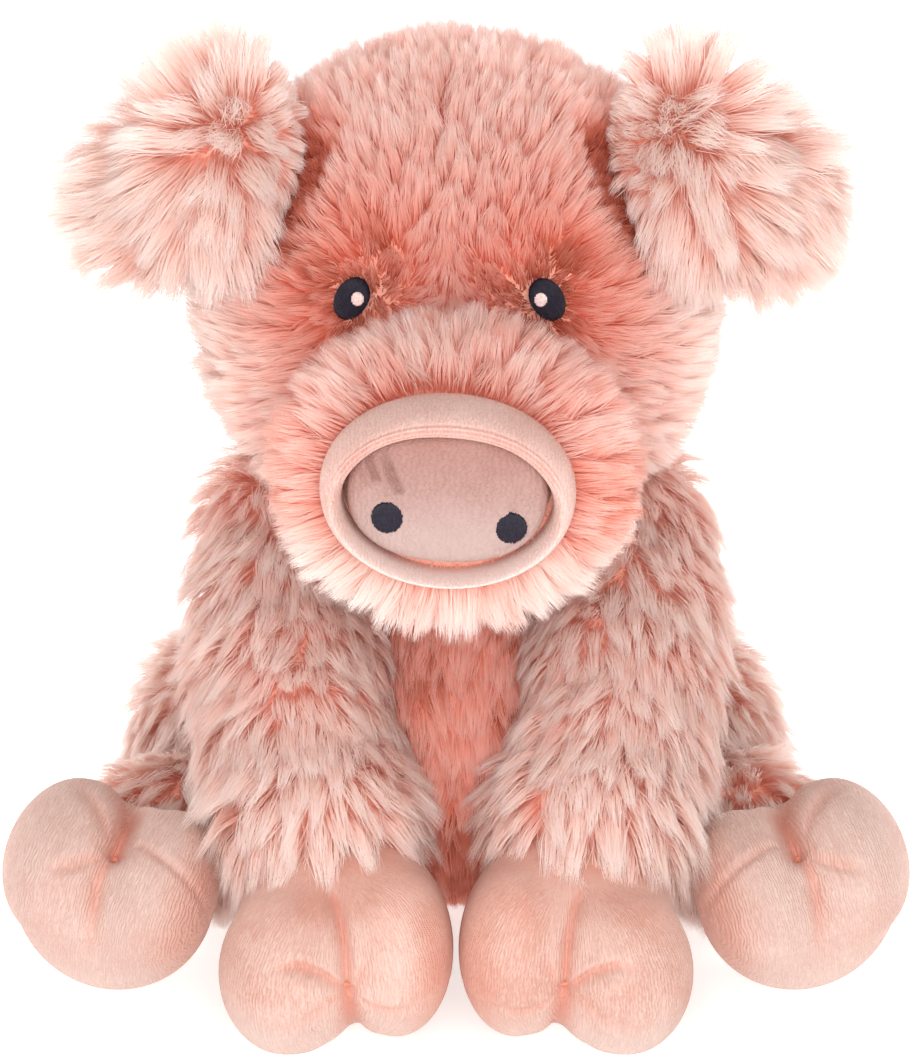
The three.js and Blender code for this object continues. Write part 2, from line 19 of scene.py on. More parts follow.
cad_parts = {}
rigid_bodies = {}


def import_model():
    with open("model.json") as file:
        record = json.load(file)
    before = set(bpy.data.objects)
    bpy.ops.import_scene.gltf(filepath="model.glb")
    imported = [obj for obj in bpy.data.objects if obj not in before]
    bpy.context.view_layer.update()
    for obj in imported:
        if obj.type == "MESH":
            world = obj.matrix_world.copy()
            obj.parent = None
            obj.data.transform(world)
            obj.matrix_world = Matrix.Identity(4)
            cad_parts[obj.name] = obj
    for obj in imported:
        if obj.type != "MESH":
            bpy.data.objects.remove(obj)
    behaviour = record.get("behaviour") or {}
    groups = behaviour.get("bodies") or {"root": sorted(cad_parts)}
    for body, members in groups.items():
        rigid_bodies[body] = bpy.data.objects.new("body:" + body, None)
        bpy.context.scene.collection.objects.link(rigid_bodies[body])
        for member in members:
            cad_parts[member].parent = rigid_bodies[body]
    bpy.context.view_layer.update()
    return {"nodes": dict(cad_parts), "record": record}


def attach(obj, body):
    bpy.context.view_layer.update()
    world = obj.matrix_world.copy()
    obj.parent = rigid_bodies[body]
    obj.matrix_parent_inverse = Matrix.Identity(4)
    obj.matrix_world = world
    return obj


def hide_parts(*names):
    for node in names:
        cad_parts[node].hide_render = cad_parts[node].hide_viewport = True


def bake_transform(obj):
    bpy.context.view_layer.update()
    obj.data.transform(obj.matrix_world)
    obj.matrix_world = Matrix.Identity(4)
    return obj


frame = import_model()

# %% [markdown]
# ## Soft forms
#
# A stuffed cover has no flat faces and no sharp corners: it swells where the stuffing is thick and draws
# in where two swellings meet. A metaball would do that, but its surface can't be asked for at a given
# place. Here a form is a sum of rounded lobes, so that its surface can be found along any ray from its
# middle, the same form can be shrunk to its backing cloth, and a neighbour can be asked whether a point
# lies inside it.

# %% Lobes and the forms that they flow into
NO_TURN = np.eye(3)
# Rays look this much further than the largest lobe, because lobes that flow together swell
RAY_MARGIN = 1.3


def turned(pitch=0.0, roll=0.0, splay=0.0):
    """A turn in degrees: pitch about X first, then roll about Y, then splay about Z."""
    angles = [math.radians(angle) for angle in (pitch, roll, splay)]
    return np.array(Euler(angles, "XYZ").to_matrix())


def unit(vector):
    """The same direction with a length of one."""
    return vector / np.linalg.norm(vector)


def lobe(centre, size, turn=NO_TURN):
    """A rounded lobe: size is its whole width, length and height."""
    return {"centre": np.array(centre, float), "radii": np.array(size, float) / 2, "turn": turn}


def ball(centre, width):
    return lobe(centre, [width] * 3)


def soft_form(lobes, blend, middle, turn=NO_TURN):
    """Lobes that flow into each other, and the middle and turn that the surface is drawn from."""
    middle = np.array(middle, float)
    spread = np.zeros(3)
    span = 0.0
    for one in lobes:
        out = one["centre"] - middle
        span = max(span, np.linalg.norm(out) + one["radii"].max() * RAY_MARGIN + blend)
        spread = np.maximum(spread, np.abs(out @ turn) + one["radii"])
    return {
        "lobes": lobes, "blend": blend, "middle": middle, "turn": turn, "spread": unit(spread), "span": span,
    }


def fullness(form, places, grow=0.0):
    """Above zero inside a form whose surface is grown by a length, below zero outside it."""
    total = np.full(len(places), -1.0)
    for one in form["lobes"]:
        radii = one["radii"] + grow
        local = (places - one["centre"]) @ one["turn"]
        off = (np.linalg.norm(local / radii, axis=1) - 1) * radii.min()
        total += np.exp(-off / form["blend"])
    return total


def within(form, grow=0.0):
    """A question that can be asked of many places at once: which of them lie inside this form?"""
    return lambda places: fullness(form, places, grow) > 0


def depth_inside(form, places):
    """About how deep each place lies under a form's surface, below zero outside."""
    return form["blend"] * np.log(np.maximum(fullness(form, places) + 1, 1e-12))


# %% Find a form's surface along rays
def reach(form, directions, grow=0.0, blocked=None, coarse=72, fine=16):
    """How far along each ray the form lasts before it ends or meets what blocks it."""

    def ended(lengths):
        places = form["middle"] + directions * lengths[:, None]
        over = fullness(form, places, grow) <= 0
        return over | blocked(places) if blocked else over

    count = len(directions)
    inside = np.zeros(count)
    outside = np.full(count, form["span"])
    going = np.ones(count, bool)
    for length in np.linspace(0, form["span"], coarse + 1)[1:]:
        over = ended(np.full(count, length))
        outside[going & over] = length
        going &= ~over
        inside[going] = length
    for _ in range(fine):
        middle = (inside + outside) / 2
        over = ended(middle)
        outside[over] = middle[over]
        inside[~over] = middle[~over]
    return (inside + outside) / 2


def rays_of(form, corners):
    """A net's corners as directions from a form's middle, as wide, long and high as the form is."""
    directions = corners * form["spread"]
    return directions / np.linalg.norm(directions, axis=1)[:, None] @ form["turn"].T


def sphere_net(detail):
    """The corners and faces of an even net of triangles on a unit sphere."""
    net = bmesh.new()
    bmesh.ops.create_icosphere(net, subdivisions=detail, radius=1)
    corners = np.array([corner.co[:] for corner in net.verts])
    faces = np.array([[corner.index for corner in face.verts] for face in net.faces])
    net.free()
    return corners, faces


CLOTH_NET = sphere_net(detail=6)
print("net for a backing cloth:", len(CLOTH_NET[0]), "corners")

# %% [markdown]
# ## The forms of this pig
#
# These are the sizes of the stuffed forms out to the level that the brushed hair reaches. They are the
# same forms as in the construction, so the dressed pieces lie where the frame has them.

# %% Body and head
BODY_SIZE = (0.134, 0.118, 0.126)
NECK_SIZE = 0.092
NECK_PLACE = np.array([0.0, -0.010, 0.110])
BODY_MIDDLE = (0, 0, 0.078)
# The floor takes a shallow flat off what rests on it
REST_DEPTH = 0.0005
SOFT_BLEND = 0.005
seat_lobe = lobe((0, 0, BODY_SIZE[2] / 2 - REST_DEPTH), BODY_SIZE)
body_form = soft_form([seat_lobe, ball(NECK_PLACE, NECK_SIZE)], SOFT_BLEND, BODY_MIDDLE)

HEAD_SIZE = (0.140, 0.130, 0.142)
HEAD_FROM_NECK = (0, -0.025, 0.073)
HEAD_PLACE = NECK_PLACE + HEAD_FROM_NECK
head_form = soft_form([lobe(HEAD_PLACE, HEAD_SIZE)], SOFT_BLEND, HEAD_PLACE)

MUZZLE_SIZE = (0.093, 0.068, 0.077)
MUZZLE_FROM_HEAD = (0, -0.076, -0.033)
MUZZLE_PITCH = 4
MUZZLE_PLACE = HEAD_PLACE + MUZZLE_FROM_HEAD
muzzle_form = soft_form([lobe(MUZZLE_PLACE, MUZZLE_SIZE, turned(MUZZLE_PITCH))], SOFT_BLEND, MUZZLE_PLACE)
# The face sits this far towards the pig's right
FACE_ASIDE = 0.0018
print("height of the head's middle:", HEAD_PLACE[2], "and of its crown:", HEAD_PLACE[2] + HEAD_SIZE[2] / 2)

# %% Ears
EAR_FLAP_SIZE = (0.046, 0.030, 0.060)
EAR_TIP_SIZE = (0.038, 0.030, 0.045)
EAR_TILT = -10
EAR_FLAP_ROLL, EAR_TIP_ROLL = -12, -16
EAR_BLEND = 0.006
# Where the flap and the tip are, in shares of half the head's size
EAR_FLAP_AT = (0.85, -0.54, 0.62)
EAR_TIP_AT = (1.17, -0.34, 0.44)
ear_flap_place = HEAD_PLACE + np.array(HEAD_SIZE) / 2 * EAR_FLAP_AT
ear_tip_place = HEAD_PLACE + np.array(HEAD_SIZE) / 2 * EAR_TIP_AT


def ear_lobe(place, size, roll):
    return lobe(place, size, turned(EAR_TILT) @ turned(roll=roll))


def mirror(form):
    """The same form on the other side of the pig."""
    flip = np.diag([-1.0, 1.0, 1.0])
    lobes = []
    for one in form["lobes"]:
        turn = flip @ one["turn"] @ flip
        lobes.append({"centre": flip @ one["centre"], "radii": one["radii"], "turn": turn})
    return soft_form(lobes, form["blend"], flip @ form["middle"], flip @ form["turn"] @ flip)


ear_flap = ear_lobe(ear_flap_place, EAR_FLAP_SIZE, EAR_FLAP_ROLL)
ear_tip = ear_lobe(ear_tip_place, EAR_TIP_SIZE, EAR_TIP_ROLL)
ear_form = soft_form([ear_flap, ear_tip], EAR_BLEND, (ear_flap_place + ear_tip_place) / 2)
print("middle of the left ear:", ear_form["middle"])

# %% Trotters: a heel and two toes side by side
TROTTER_BLEND = 0.0026
# Shares of a trotter's width and length, and of its width, length and height
HEEL_WIDTH, HEEL_LENGTH, HEEL_BACK = 0.92, 0.84, 0.08
TOE_SHARES = (0.53, 0.62, 0.88)
TOE_ASIDE, TOE_AHEAD, TOE_LOWER = 0.235, 0.2, 0.03


def trotter_form(place, size, turn):
    width, length, height = size
    heel_place = place + turn @ (0, HEEL_BACK * length, 0)
    lobes = [lobe(heel_place, (HEEL_WIDTH * width, HEEL_LENGTH * length, height), turn)]
    for side in (-1, 1):
        toe_place = place + turn @ (side * TOE_ASIDE * width, -TOE_AHEAD * length, -TOE_LOWER * height)
        lobes.append(lobe(toe_place, np.array(TOE_SHARES) * size, turn))
    return soft_form(lobes, TROTTER_BLEND, place, turn)


def set_down(x, y, size, turn):
    """A trotter at the height where the floor takes a shallow flat off it."""
    held = trotter_form(np.array([x, y, size[1] / 2]), size, turn)
    directions = rays_of(held, CLOTH_NET[0])
    lowest = (directions * reach(held, directions)[:, None])[:, 2].min()
    return trotter_form(np.array([x, y, -lowest - REST_DEPTH]), size, turn)


FRONT_TROTTER_SIZE = (0.060, 0.060, 0.051)
HIND_TROTTER_SIZE = (0.058, 0.062, 0.050)
front_trotter_form = set_down(0.0305, -0.116, FRONT_TROTTER_SIZE, turned(pitch=14, splay=3))
hind_trotter_form = set_down(0.0925, -0.081, HIND_TROTTER_SIZE, turned(pitch=-46, roll=-16, splay=12))
print("middles of the trotters:", front_trotter_form["middle"], hind_trotter_form["middle"])

# %% Legs
SHOULDER_PLACE = np.array([0.044, -0.034, 0.116])
WRIST_PLACE = np.array([0.0355, -0.097, 0.054])
SHOULDER_WIDTH, LEG_WIDTH, WRIST_WIDTH = 0.056, 0.058, 0.055
LEG_BOW = 0.004
LEG_LOBES = 5
FRONT_LEG_BLEND, HIND_LEG_BLEND = 0.003, 0.008
front_lobes = []
for share in np.linspace(0, 1, LEG_LOBES):
    straight = SHOULDER_WIDTH + (WRIST_WIDTH - SHOULDER_WIDTH) * share
    width = straight + (LEG_WIDTH - (SHOULDER_WIDTH + WRIST_WIDTH) / 2) * math.sin(share * math.pi)
    bow = LEG_BOW * math.sin(share * math.pi)
    place = SHOULDER_PLACE + (WRIST_PLACE - SHOULDER_PLACE) * share + (bow, 0, 0)
    front_lobes.append(ball(place, width))
front_leg_form = soft_form(front_lobes, FRONT_LEG_BLEND, (SHOULDER_PLACE + WRIST_PLACE) / 2)
shoulder_ball = soft_form([front_lobes[0]], SOFT_BLEND, SHOULDER_PLACE)

HAUNCH_PLACE = np.array([0.065, -0.006, 0.0415])
SHANK_PLACE = np.array([0.080, -0.055, 0.034])
HAUNCH_SIZE = (0.058, 0.084, 0.084)
SHANK_WIDTH = 0.046
haunch_lobe = lobe(HAUNCH_PLACE, HAUNCH_SIZE)
hind_leg_middle = (HAUNCH_PLACE + SHANK_PLACE) / 2
hind_leg_form = soft_form([haunch_lobe, ball(SHANK_PLACE, SHANK_WIDTH)], HIND_LEG_BLEND, hind_leg_middle)
haunch_ball = soft_form([haunch_lobe], SOFT_BLEND, HAUNCH_PLACE)
print("front leg length:", np.linalg.norm(SHOULDER_PLACE - WRIST_PLACE))

# %% [markdown]
# ## Backing cloths
#
# Under the hair is a knitted backing, 7 mm below the level that the brushed hair reaches. Each cover's
# backing is a closed bag. Where a neighbour is sewn to it or presses into it, the bag stops short of
# that neighbour, as real stuffing does. It is drawn by shooting rays from the middle of the form, which
# gives one even net without any cut, and the hair later takes its direction from values stored on this
# net. The construction's own filling of a front leg would show above its bag at the shoulder, so each
# front leg gets a filling that is drawn the same way, a little inside its bag.

# %% Draw a backing cloth
BACKING_DEPTH = 0.007


def mesh_of(name, places, faces):
    mesh = bpy.data.meshes.new(name)
    mesh.from_pydata(np.asarray(places).tolist(), [], [tuple(face) for face in faces])
    mesh.shade_smooth()
    mesh.update()
    return mesh


def piece_of(name, mesh):
    piece = bpy.data.objects.new(name, mesh)
    bpy.context.scene.collection.objects.link(piece)
    return piece


def backing(name, form, blocked=None, depth=BACKING_DEPTH, net=CLOTH_NET):
    """A closed bag at a depth inside a form, which stops short of what blocks it."""
    corners, faces = net
    directions = rays_of(form, corners)
    lengths = reach(form, directions, -depth, blocked)
    places = form["middle"] + directions * lengths[:, None]
    places[:, 2] = np.maximum(places[:, 2], REST_DEPTH)
    return piece_of(name, mesh_of(name, places, faces))


def any_of(*questions):
    return lambda places: np.any([question(places) for question in questions], axis=0)


def but_not(question, exception):
    return lambda places: question(places) & ~exception(places)


# %% The nine backings, and a filling in each front leg
SEAM_GAP = 0.0003
TURN_GAP = 0.0008
THROAT_GAP = 0.003
FILLING_NET = sphere_net(detail=4)
FILLING_DEPTH = 0.0015
FILLING_FOOT_GAP = 0.0018
collar = soft_form([ball(NECK_PLACE, NECK_SIZE)], SOFT_BLEND, NECK_PLACE)
joint_balls = [shoulder_ball, mirror(shoulder_ball), haunch_ball, mirror(haunch_ball)]
body_cloth = backing("body_cloth", body_form, any_of(*[within(one, TURN_GAP) for one in joint_balls]))
head_stop = any_of(within(collar, TURN_GAP), within(body_form, THROAT_GAP))
head_cloth = backing("head_cloth", head_form, head_stop)
sewn_head = within(head_form, -BACKING_DEPTH + SEAM_GAP)
muzzle_cloth = backing("muzzle_cloth", muzzle_form, sewn_head)

cloths = {"body": body_cloth, "head": head_cloth, "muzzle": muzzle_cloth}
forms = {"body": body_form, "head": head_form, "muzzle": muzzle_form}
fillings = {}
for side in ("left", "right"):
    placed = (lambda form: form) if side == "left" else mirror
    ear, front, hind = placed(ear_form), placed(front_leg_form), placed(hind_leg_form)
    shoulder, haunch = placed(shoulder_ball), placed(haunch_ball)
    front_foot, hind_foot = placed(front_trotter_form), placed(hind_trotter_form)
    cloths[f"ear_{side}"] = backing(f"ear_cloth_{side}", ear, sewn_head)
    by_body = but_not(within(body_form, -BACKING_DEPTH), within(shoulder))
    front_stop = any_of(by_body, within(head_form, -BACKING_DEPTH), within(front_foot, SEAM_GAP))
    cloths[f"front_leg_{side}"] = backing(f"front_leg_cloth_{side}", front, front_stop)
    by_body = but_not(within(body_form, -BACKING_DEPTH + FILLING_DEPTH), within(shoulder))
    by_head = within(head_form, -BACKING_DEPTH + FILLING_DEPTH)
    fill_stop = any_of(by_body, by_head, within(front_foot, FILLING_FOOT_GAP))
    fill_depth = BACKING_DEPTH + FILLING_DEPTH
    fillings[side] = backing(f"front_leg_filling_{side}", front, fill_stop, fill_depth, FILLING_NET)
    by_body = but_not(within(body_form, -BACKING_DEPTH), within(haunch))
    hind_stop = any_of(by_body, within(hind_foot, SEAM_GAP))
    cloths[f"hind_leg_{side}"] = backing(f"hind_leg_cloth_{side}", hind, hind_stop)
    forms[f"ear_{side}"], forms[f"front_leg_{side}"], forms[f"hind_leg_{side}"] = ear, front, hind
    forms[f"front_trotter_{side}"], forms[f"hind_trotter_{side}"] = front_foot, hind_foot
print("backings:", sorted(cloths))

# %% [markdown]
# ## Combing
#
# The nap of long plush has a direction, and a maker brushes it after sewing. In the photograph the hair
# of the face runs away from the snout, parts round the eyes and stands up at the crown. On the muzzle it
# fans out round the snout, on the ears it runs out from one whorl, and on the body and legs it falls.
# Each backing gets a vector for every corner that says where the hair leans, and numbers for its length,
# tint and thickness. A tint of zero is the deep salmon of hair that little light reaches, one is pale,
# and a thickness of zero is bare cloth.

# %% Store the combing on a backing
def tangent(vectors, normals):
    """Directions laid flat along the cloth, with a length of one."""
    flat = vectors - normals * np.sum(vectors * normals, axis=1)[:, None]
    return flat / np.maximum(np.linalg.norm(flat, axis=1), 1e-9)[:, None]


def near(places, centre, size):
    """One at a place, falling off to zero over a distance."""
    return np.exp(-(np.linalg.norm(places - centre, axis=1) / size) ** 2)


def ramp(values, low, high):
    """Zero up to low, one from high on, and a smooth rise between them."""
    share = np.clip((values - low) / (high - low), 0, 1)
    return share * share * (3 - 2 * share)


def read(rows, field, width=1, kind=float):
    """One field of all the rows of a mesh, as an array."""
    values = np.empty(len(rows) * width, kind)
    rows.foreach_get(field, values)
    return values


def surface_of(piece):
    """The corners of a piece and the way out of the cloth at each."""
    mesh = piece.data
    places = read(mesh.vertices, "co", 3)
    normals = read(mesh.vertex_normals, "vector", 3)
    return places.reshape(-1, 3), normals.reshape(-1, 3)


def store(mesh, name, kind, values):
    layer = mesh.attributes.new(name, kind, "POINT")
    field = "vector" if kind == "FLOAT_VECTOR" else "value"
    layer.data.foreach_set(field, np.ascontiguousarray(values, dtype=np.float32).ravel())


def comb(piece, flow, lift, length, tint, thick):
    """Brush a backing: the hair's lean along the cloth, its lift in degrees, length, tint and thickness."""
    places, normals = surface_of(piece)
    lift = np.radians(np.broadcast_to(lift, len(places)))[:, None]
    lean = tangent(flow, normals) * np.cos(lift) + normals * np.sin(lift)
    store(piece.data, "comb", "FLOAT_VECTOR", lean)
    for name, values in (("length", length), ("tint", tint), ("thick", thick)):
        store(piece.data, name, "FLOAT", np.broadcast_to(values, len(places)))


# %% Comb the head
DOWN = np.array([0.0, 0.0, -1.0])
SNOUT_RAISE = 0.006
SNOUT_PLACE = MUZZLE_PLACE + (-FACE_ASIDE, 0, SNOUT_RAISE)
EYE_SPACING = 0.053
EYE_ABOVE = 0.0095
EYE_DEPTH = 0.0032
BRIDGE_ABOVE, BRIDGE_DEPTH, BRIDGE_SIZE = 0.006, 0.004, 0.013
# How far from the middle of an eye the hair is parted, short, painted in shade, flat and missing
EYE_PARTED, EYE_SHORT, EYE_SHADE, EYE_FLAT = 0.020, (0.007, 0.022), 0.022, 0.018
EYE_BARE = (0.0052, 0.0060)
HEAD_LIFT = 58


def on_head(sideways, above, depth):
    """A place on the head's form, sunk by a depth, and the way out of the head there."""
    half_size = np.array(HEAD_SIZE) / 2
    forward = half_size[1] * math.sqrt(1 - (sideways / half_size[0]) ** 2 - (above / half_size[2]) ** 2)
    place = np.array([sideways, -forward, above])
    outward = unit(place / half_size**2)
    return HEAD_PLACE + place - outward * depth, outward


eye_seats = {}
for side, sign in (("left", 1), ("right", -1)):
    eye_seats[side] = on_head(EYE_SPACING / 2 * sign - FACE_ASIDE, EYE_ABOVE, EYE_DEPTH)

places, normals = surface_of(head_cloth)
behind = ramp(places[:, 1], -0.035, 0.02)
aside = ramp(np.abs(places[:, 0]), 0.035, 0.062)
bridge = near(places, on_head(-FACE_ASIDE, BRIDGE_ABOVE, BRIDGE_DEPTH)[0], BRIDGE_SIZE)
away = tangent(places - SNOUT_PLACE, normals)
flow = away * (1 - behind)[:, None] + DOWN * behind[:, None]
# Painted light: paler cheeks for the light wrapping the head's sides, and a paler bridge against the muzzle's
# shade
tint = 0.58 + 0.14 * behind + 0.42 * aside * (1 - 0.6 * behind) + 0.30 * bridge
lift = HEAD_LIFT - 20 * aside
length = 0.78 + 0.30 * aside - 0.22 * bridge
thick = 1 - 0.25 * behind - 1.0 * within(muzzle_form, -0.004)(places)

# The hair is parted and short round the eyes, with painted shade there
for place, outward in eye_seats.values():
    pull = near(places, place, EYE_PARTED)[:, None]
    flow = flow * (1 - pull) + tangent(places - place, normals) * pull * 1.6
    off = np.linalg.norm(places - place, axis=1)
    length *= 0.42 + 0.58 * ramp(off, *EYE_SHORT)
    tint -= 0.92 * near(places, place, EYE_SHADE)
    lift = lift - 20 * near(places, place, EYE_FLAT)
    thick = thick * ramp(off, *EYE_BARE)

# Under the ears there is none, and beside them it is pressed down, with painted shade in the crevice between
# ear and head
for ear in (ear_form, mirror(ear_form)):
    thick = thick * ~within(ear, -0.006)(places)
    inner_side = np.abs(places[:, 0]) < abs(ear["middle"][0])
    beside = ramp(depth_inside(ear, places), -0.008, -0.0005) * inner_side
    length *= 1 - 0.65 * beside
    tint -= 1.1 * beside
    thick = thick * (1 - 0.35 * beside)
thick = thick * ~within(body_form, -0.004)(places)
comb(head_cloth, flow, lift, length, tint, np.maximum(thick, 0))
print("head combed:", len(places), "corners, of which bare:", int(np.sum(thick <= 0)))

# %% Comb the muzzle
SNOUT_PITCH, SNOUT_ROLL = 11, 3
# Half the width and height of the oval that the snout's rim is sewn round
SNOUT_SEAM = (0.0325, 0.0245)
places, normals = surface_of(muzzle_cloth)
snout_turn = turned(SNOUT_PITCH, SNOUT_ROLL)
snout_ahead = snout_turn @ np.array([0.0, -1.0, 0.0])
from_axis = places - SNOUT_PLACE
from_axis = from_axis - snout_ahead * (from_axis @ snout_ahead)[:, None]
over = ramp(from_axis[:, 2], -0.01, 0.02)
under = ramp(-from_axis[:, 2], 0.004, 0.022)
ring = np.hypot(from_axis[:, 0] / SNOUT_SEAM[0], from_axis[:, 2] / SNOUT_SEAM[1])
outside_seam = (ring > 0.84) | (places[:, 1] > SNOUT_PLACE[1])
comb(
    muzzle_cloth,
    flow=from_axis + (0, 0.004, 0),
    lift=20 + 22 * over + 34 * (1 - ramp(ring, 0.95, 1.4)),
    length=0.80 + 0.12 * under - 0.04 * over,
    tint=0.14 + 0.80 * under + 0.44 * over,
    thick=outside_seam * ~within(head_form, -0.006)(places),
)
print("muzzle combed:", len(places), "corners")

# %% Comb the body
places, normals = surface_of(body_cloth)
belly = ramp(-places[:, 1], 0.01, 0.035) * ramp(0.05 - np.abs(places[:, 0]), 0, 0.02)
crotch = belly * ramp(-places[:, 2], -0.055, -0.035)
hidden = within(head_form, -0.004)(places)
for name in ("front_leg", "hind_leg"):
    for side in ("left", "right"):
        hidden = hidden | within(forms[f"{name}_{side}"], -0.004)(places)
# Painted shade: the belly between the arms takes the deep salmon of hair that little light reaches, and the
# crotch deeper still
comb(
    body_cloth,
    flow=DOWN + places * (1, 1, 0) * 4,
    lift=30 - 8 * belly,
    length=1 - 0.3 * belly,
    tint=0.60 - 0.60 * belly - 0.2 * crotch,
    thick=(1 - 0.25 * ramp(places[:, 1], 0, 0.03)) * ~hidden,
)
print("body combed:", len(places), "corners, of which under a leg or the head:", int(hidden.sum()))


# %% Comb the legs
def comb_front_leg(side, flip):
    """The hair falls along the leg and outward, longer at the hem and flat on the inner side, where painted
    shade darkens it.
    """
    cloth = cloths[f"front_leg_{side}"]
    places, _ = surface_of(cloth)
    along = unit((WRIST_PLACE - SHOULDER_PLACE) * flip)
    from_shoulder = places - SHOULDER_PLACE * flip
    axis_off = from_shoulder - along * (from_shoulder @ along)[:, None]
    hem = ramp(from_shoulder @ along, 0.055, 0.085)
    inner = ramp(-axis_off[:, 0] * flip[0], 0.004, 0.018) * (1 - 0.6 * hem)
    hidden = within(body_form, -0.006)(places) | within(head_form, -0.005)(places)
    comb(
        cloth,
        flow=along * 0.5 + DOWN * 0.7 + axis_off * 8,
        lift=30 + 6 * hem - 14 * inner,
        length=(1 + 0.2 * hem) * (1 - 0.3 * inner),
        tint=0.92 + 0.10 * hem - 0.16 * inner,
        thick=~hidden,
    )


def comb_hind_leg(side, flip):
    """The hair falls outward from the haunch and forward along the leg."""
    cloth = cloths[f"hind_leg_{side}"]
    places, _ = surface_of(cloth)
    out = unit((SHANK_PLACE - HAUNCH_PLACE) * flip)
    hidden = within(body_form, -0.006)(places) | within(forms[f"front_leg_{side}"], -0.010)(places)
    flow = out * 0.5 + DOWN * 0.5 + (places - HAUNCH_PLACE * flip) * 8
    comb(cloth, flow, lift=34, length=1.0, tint=1.05, thick=~hidden)


# %% Comb the ears
# The whorl on the front of the left ear, and the place on its back where the hair starts
WHORL = (0.058, -0.082, 0.238)
EAR_ROOT = (0.045, -0.050, 0.240)
HEART_SIZE, UPRIGHT_SIZE = 0.014, 0.017
STEEPEST = 82


def comb_ear(side, flip):
    """The hair runs out from the whorl in front and from the root behind, with a parting over the edge."""
    cloth = cloths[f"ear_{side}"]
    places, normals = surface_of(cloth)
    whorl = np.array(WHORL) * flip
    back = ramp(places[:, 1], -0.072, -0.046)
    heart = near(places, whorl, HEART_SIZE)
    from_whorl = tangent(places - whorl, normals)
    from_root = tangent(places - np.array(EAR_ROOT) * flip, normals)
    parting = 4 * back * (1 - back)
    lift = 28 + 54 * near(places, whorl, UPRIGHT_SIZE) + 16 * parting
    inner = ramp(-places[:, 0] * flip[0], -0.058, -0.046) * (1 - back)
    comb(
        cloth,
        flow=from_whorl * (1 - back)[:, None] + from_root * back[:, None],
        lift=np.minimum(lift, STEEPEST),
        length=1 - 0.68 * inner,
        tint=1.04 + 0.4 * heart,
        thick=(1 + 0.5 * heart) * ~within(head_form, -0.005)(places),
    )


for side, sign in (("left", 1), ("right", -1)):
    flip = np.array([sign, 1, 1])
    comb_front_leg(side, flip)
    comb_hind_leg(side, flip)
    comb_ear(side, flip)
print("combed", len(cloths), "backings")

# %% [markdown]
# ## Hair
#
# Blender's own hair curves would be quick to comb, but they aren't a mesh, and the finished toy has to
# be one. So every hair is a narrow ribbon of three triangles, bent once like an arch and ending in a
# point. Geometry Nodes place them: evenly spaced points stand for the locks, closer ones for the fine
# tufts in them, and dense random points for the hairs. A tuft leans towards the tip of its lock, and a
# hair towards the tip of its tuft.

# %% Bent ribbons, each of which stands for one hair
HALF_AT_BEND = 0.42


def ribbon(name, arch, sway, bend):
    """A hair of length one along Z and width one along X, bent once towards Y and a little sideways."""
    left, right = (sway - HALF_AT_BEND, arch, bend), (sway + HALF_AT_BEND, arch, bend)
    corners = [(-0.5, 0, 0), (0.5, 0, 0), left, right, (0, 0, 1)]
    mesh = mesh_of(name, corners, [(0, 1, 3, 2), (2, 3, 4)])
    layer = mesh.attributes.new("along", "FLOAT", "POINT")
    layer.data.foreach_set("value", [0.0, 0.0, bend, bend, 1.0])
    return bpy.data.objects.new(name, mesh)


hairs = bpy.data.collections.new("hairs")
# Of each ribbon: how far it arches, how far it sways in widths, and where along it the bend is
BENDS = ((0.09, 0.6, 0.50), (0.13, -0.9, 0.58), (0.18, 0.9, 0.46), (0.11, -0.4, 0.54))
for number, (arch, sway, bend) in enumerate(BENDS):
    hairs.objects.link(ribbon(f"hair_{number}", arch, sway, bend))

# %% A short way to write node trees
def socket_of(sockets, key):
    if isinstance(key, int):
        return sockets[key]
    for one in sockets:
        if one.enabled and key in (one.name, one.identifier):
            return one
    raise KeyError(key)


def feed(tree, socket, value):
    """Link a socket to another, or type a value in."""
    if isinstance(value, bpy.types.NodeSocket):
        tree.links.new(value, socket)
    else:
        socket.default_value = value


def add_node(tree, kind, values=None, **settings):
    """A node with its settings, its values typed in and its inputs linked."""
    made = tree.nodes.new(kind)
    for name, value in settings.items():
        setattr(made, name, value)
    for key, value in (values or {}).items():
        feed(tree, socket_of(made.inputs, key), value)
    return made


def result(node, key=0):
    """A node's output: the first that is in use, or the one with a name."""
    if key == 0:
        return [one for one in node.outputs if one.enabled][0]
    return socket_of(node.outputs, key)


def new_tree(name, inputs):
    """An empty geometry tree with named inputs, and the identifiers that a modifier sets them by."""
    tree = bpy.data.node_groups.new(name, "GeometryNodeTree")
    identifiers = {}
    sockets = {}
    tree.interface.new_socket("Geometry", in_out="INPUT", socket_type="NodeSocketGeometry")
    for label, kind in inputs.items():
        made = tree.interface.new_socket(label, in_out="INPUT", socket_type=f"NodeSocket{kind}")
        identifiers[label] = made.identifier
    tree.interface.new_socket("Geometry", in_out="OUTPUT", socket_type="NodeSocketGeometry")
    entry = tree.nodes.new("NodeGroupInput")
    for one in entry.outputs:
        if one.name:
            sockets[one.name] = one
    return tree, identifiers, sockets


# %% Sums, named values and random numbers in a tree
def maths(tree, operation, *values):
    node = tree.nodes.new("ShaderNodeMath")
    node.operation = operation
    for number, value in enumerate(values):
        feed(tree, node.inputs[number], value)
    return node.outputs[0]


def vectors(tree, operation, first, second=None, scale=None):
    node = tree.nodes.new("ShaderNodeVectorMath")
    node.operation = operation
    for key, value in ((0, first), (1, second), ("Scale", scale)):
        if value is not None:
            feed(tree, node.inputs[key], value)
    return node.outputs[0]


def named(tree, name, kind="FLOAT"):
    return result(add_node(tree, "GeometryNodeInputNamedAttribute", {"Name": name}, data_type=kind))


def random_value(tree, kind, low, high, seed):
    """A number or vector between two others, drawn anew for each point or hair."""
    values = {"Min": low, "Max": high, "Seed": seed}
    return result(add_node(tree, "FunctionNodeRandomValue", values, data_type=kind))


def random_number(tree, low, high, seed):
    return random_value(tree, "FLOAT", low, high, seed)


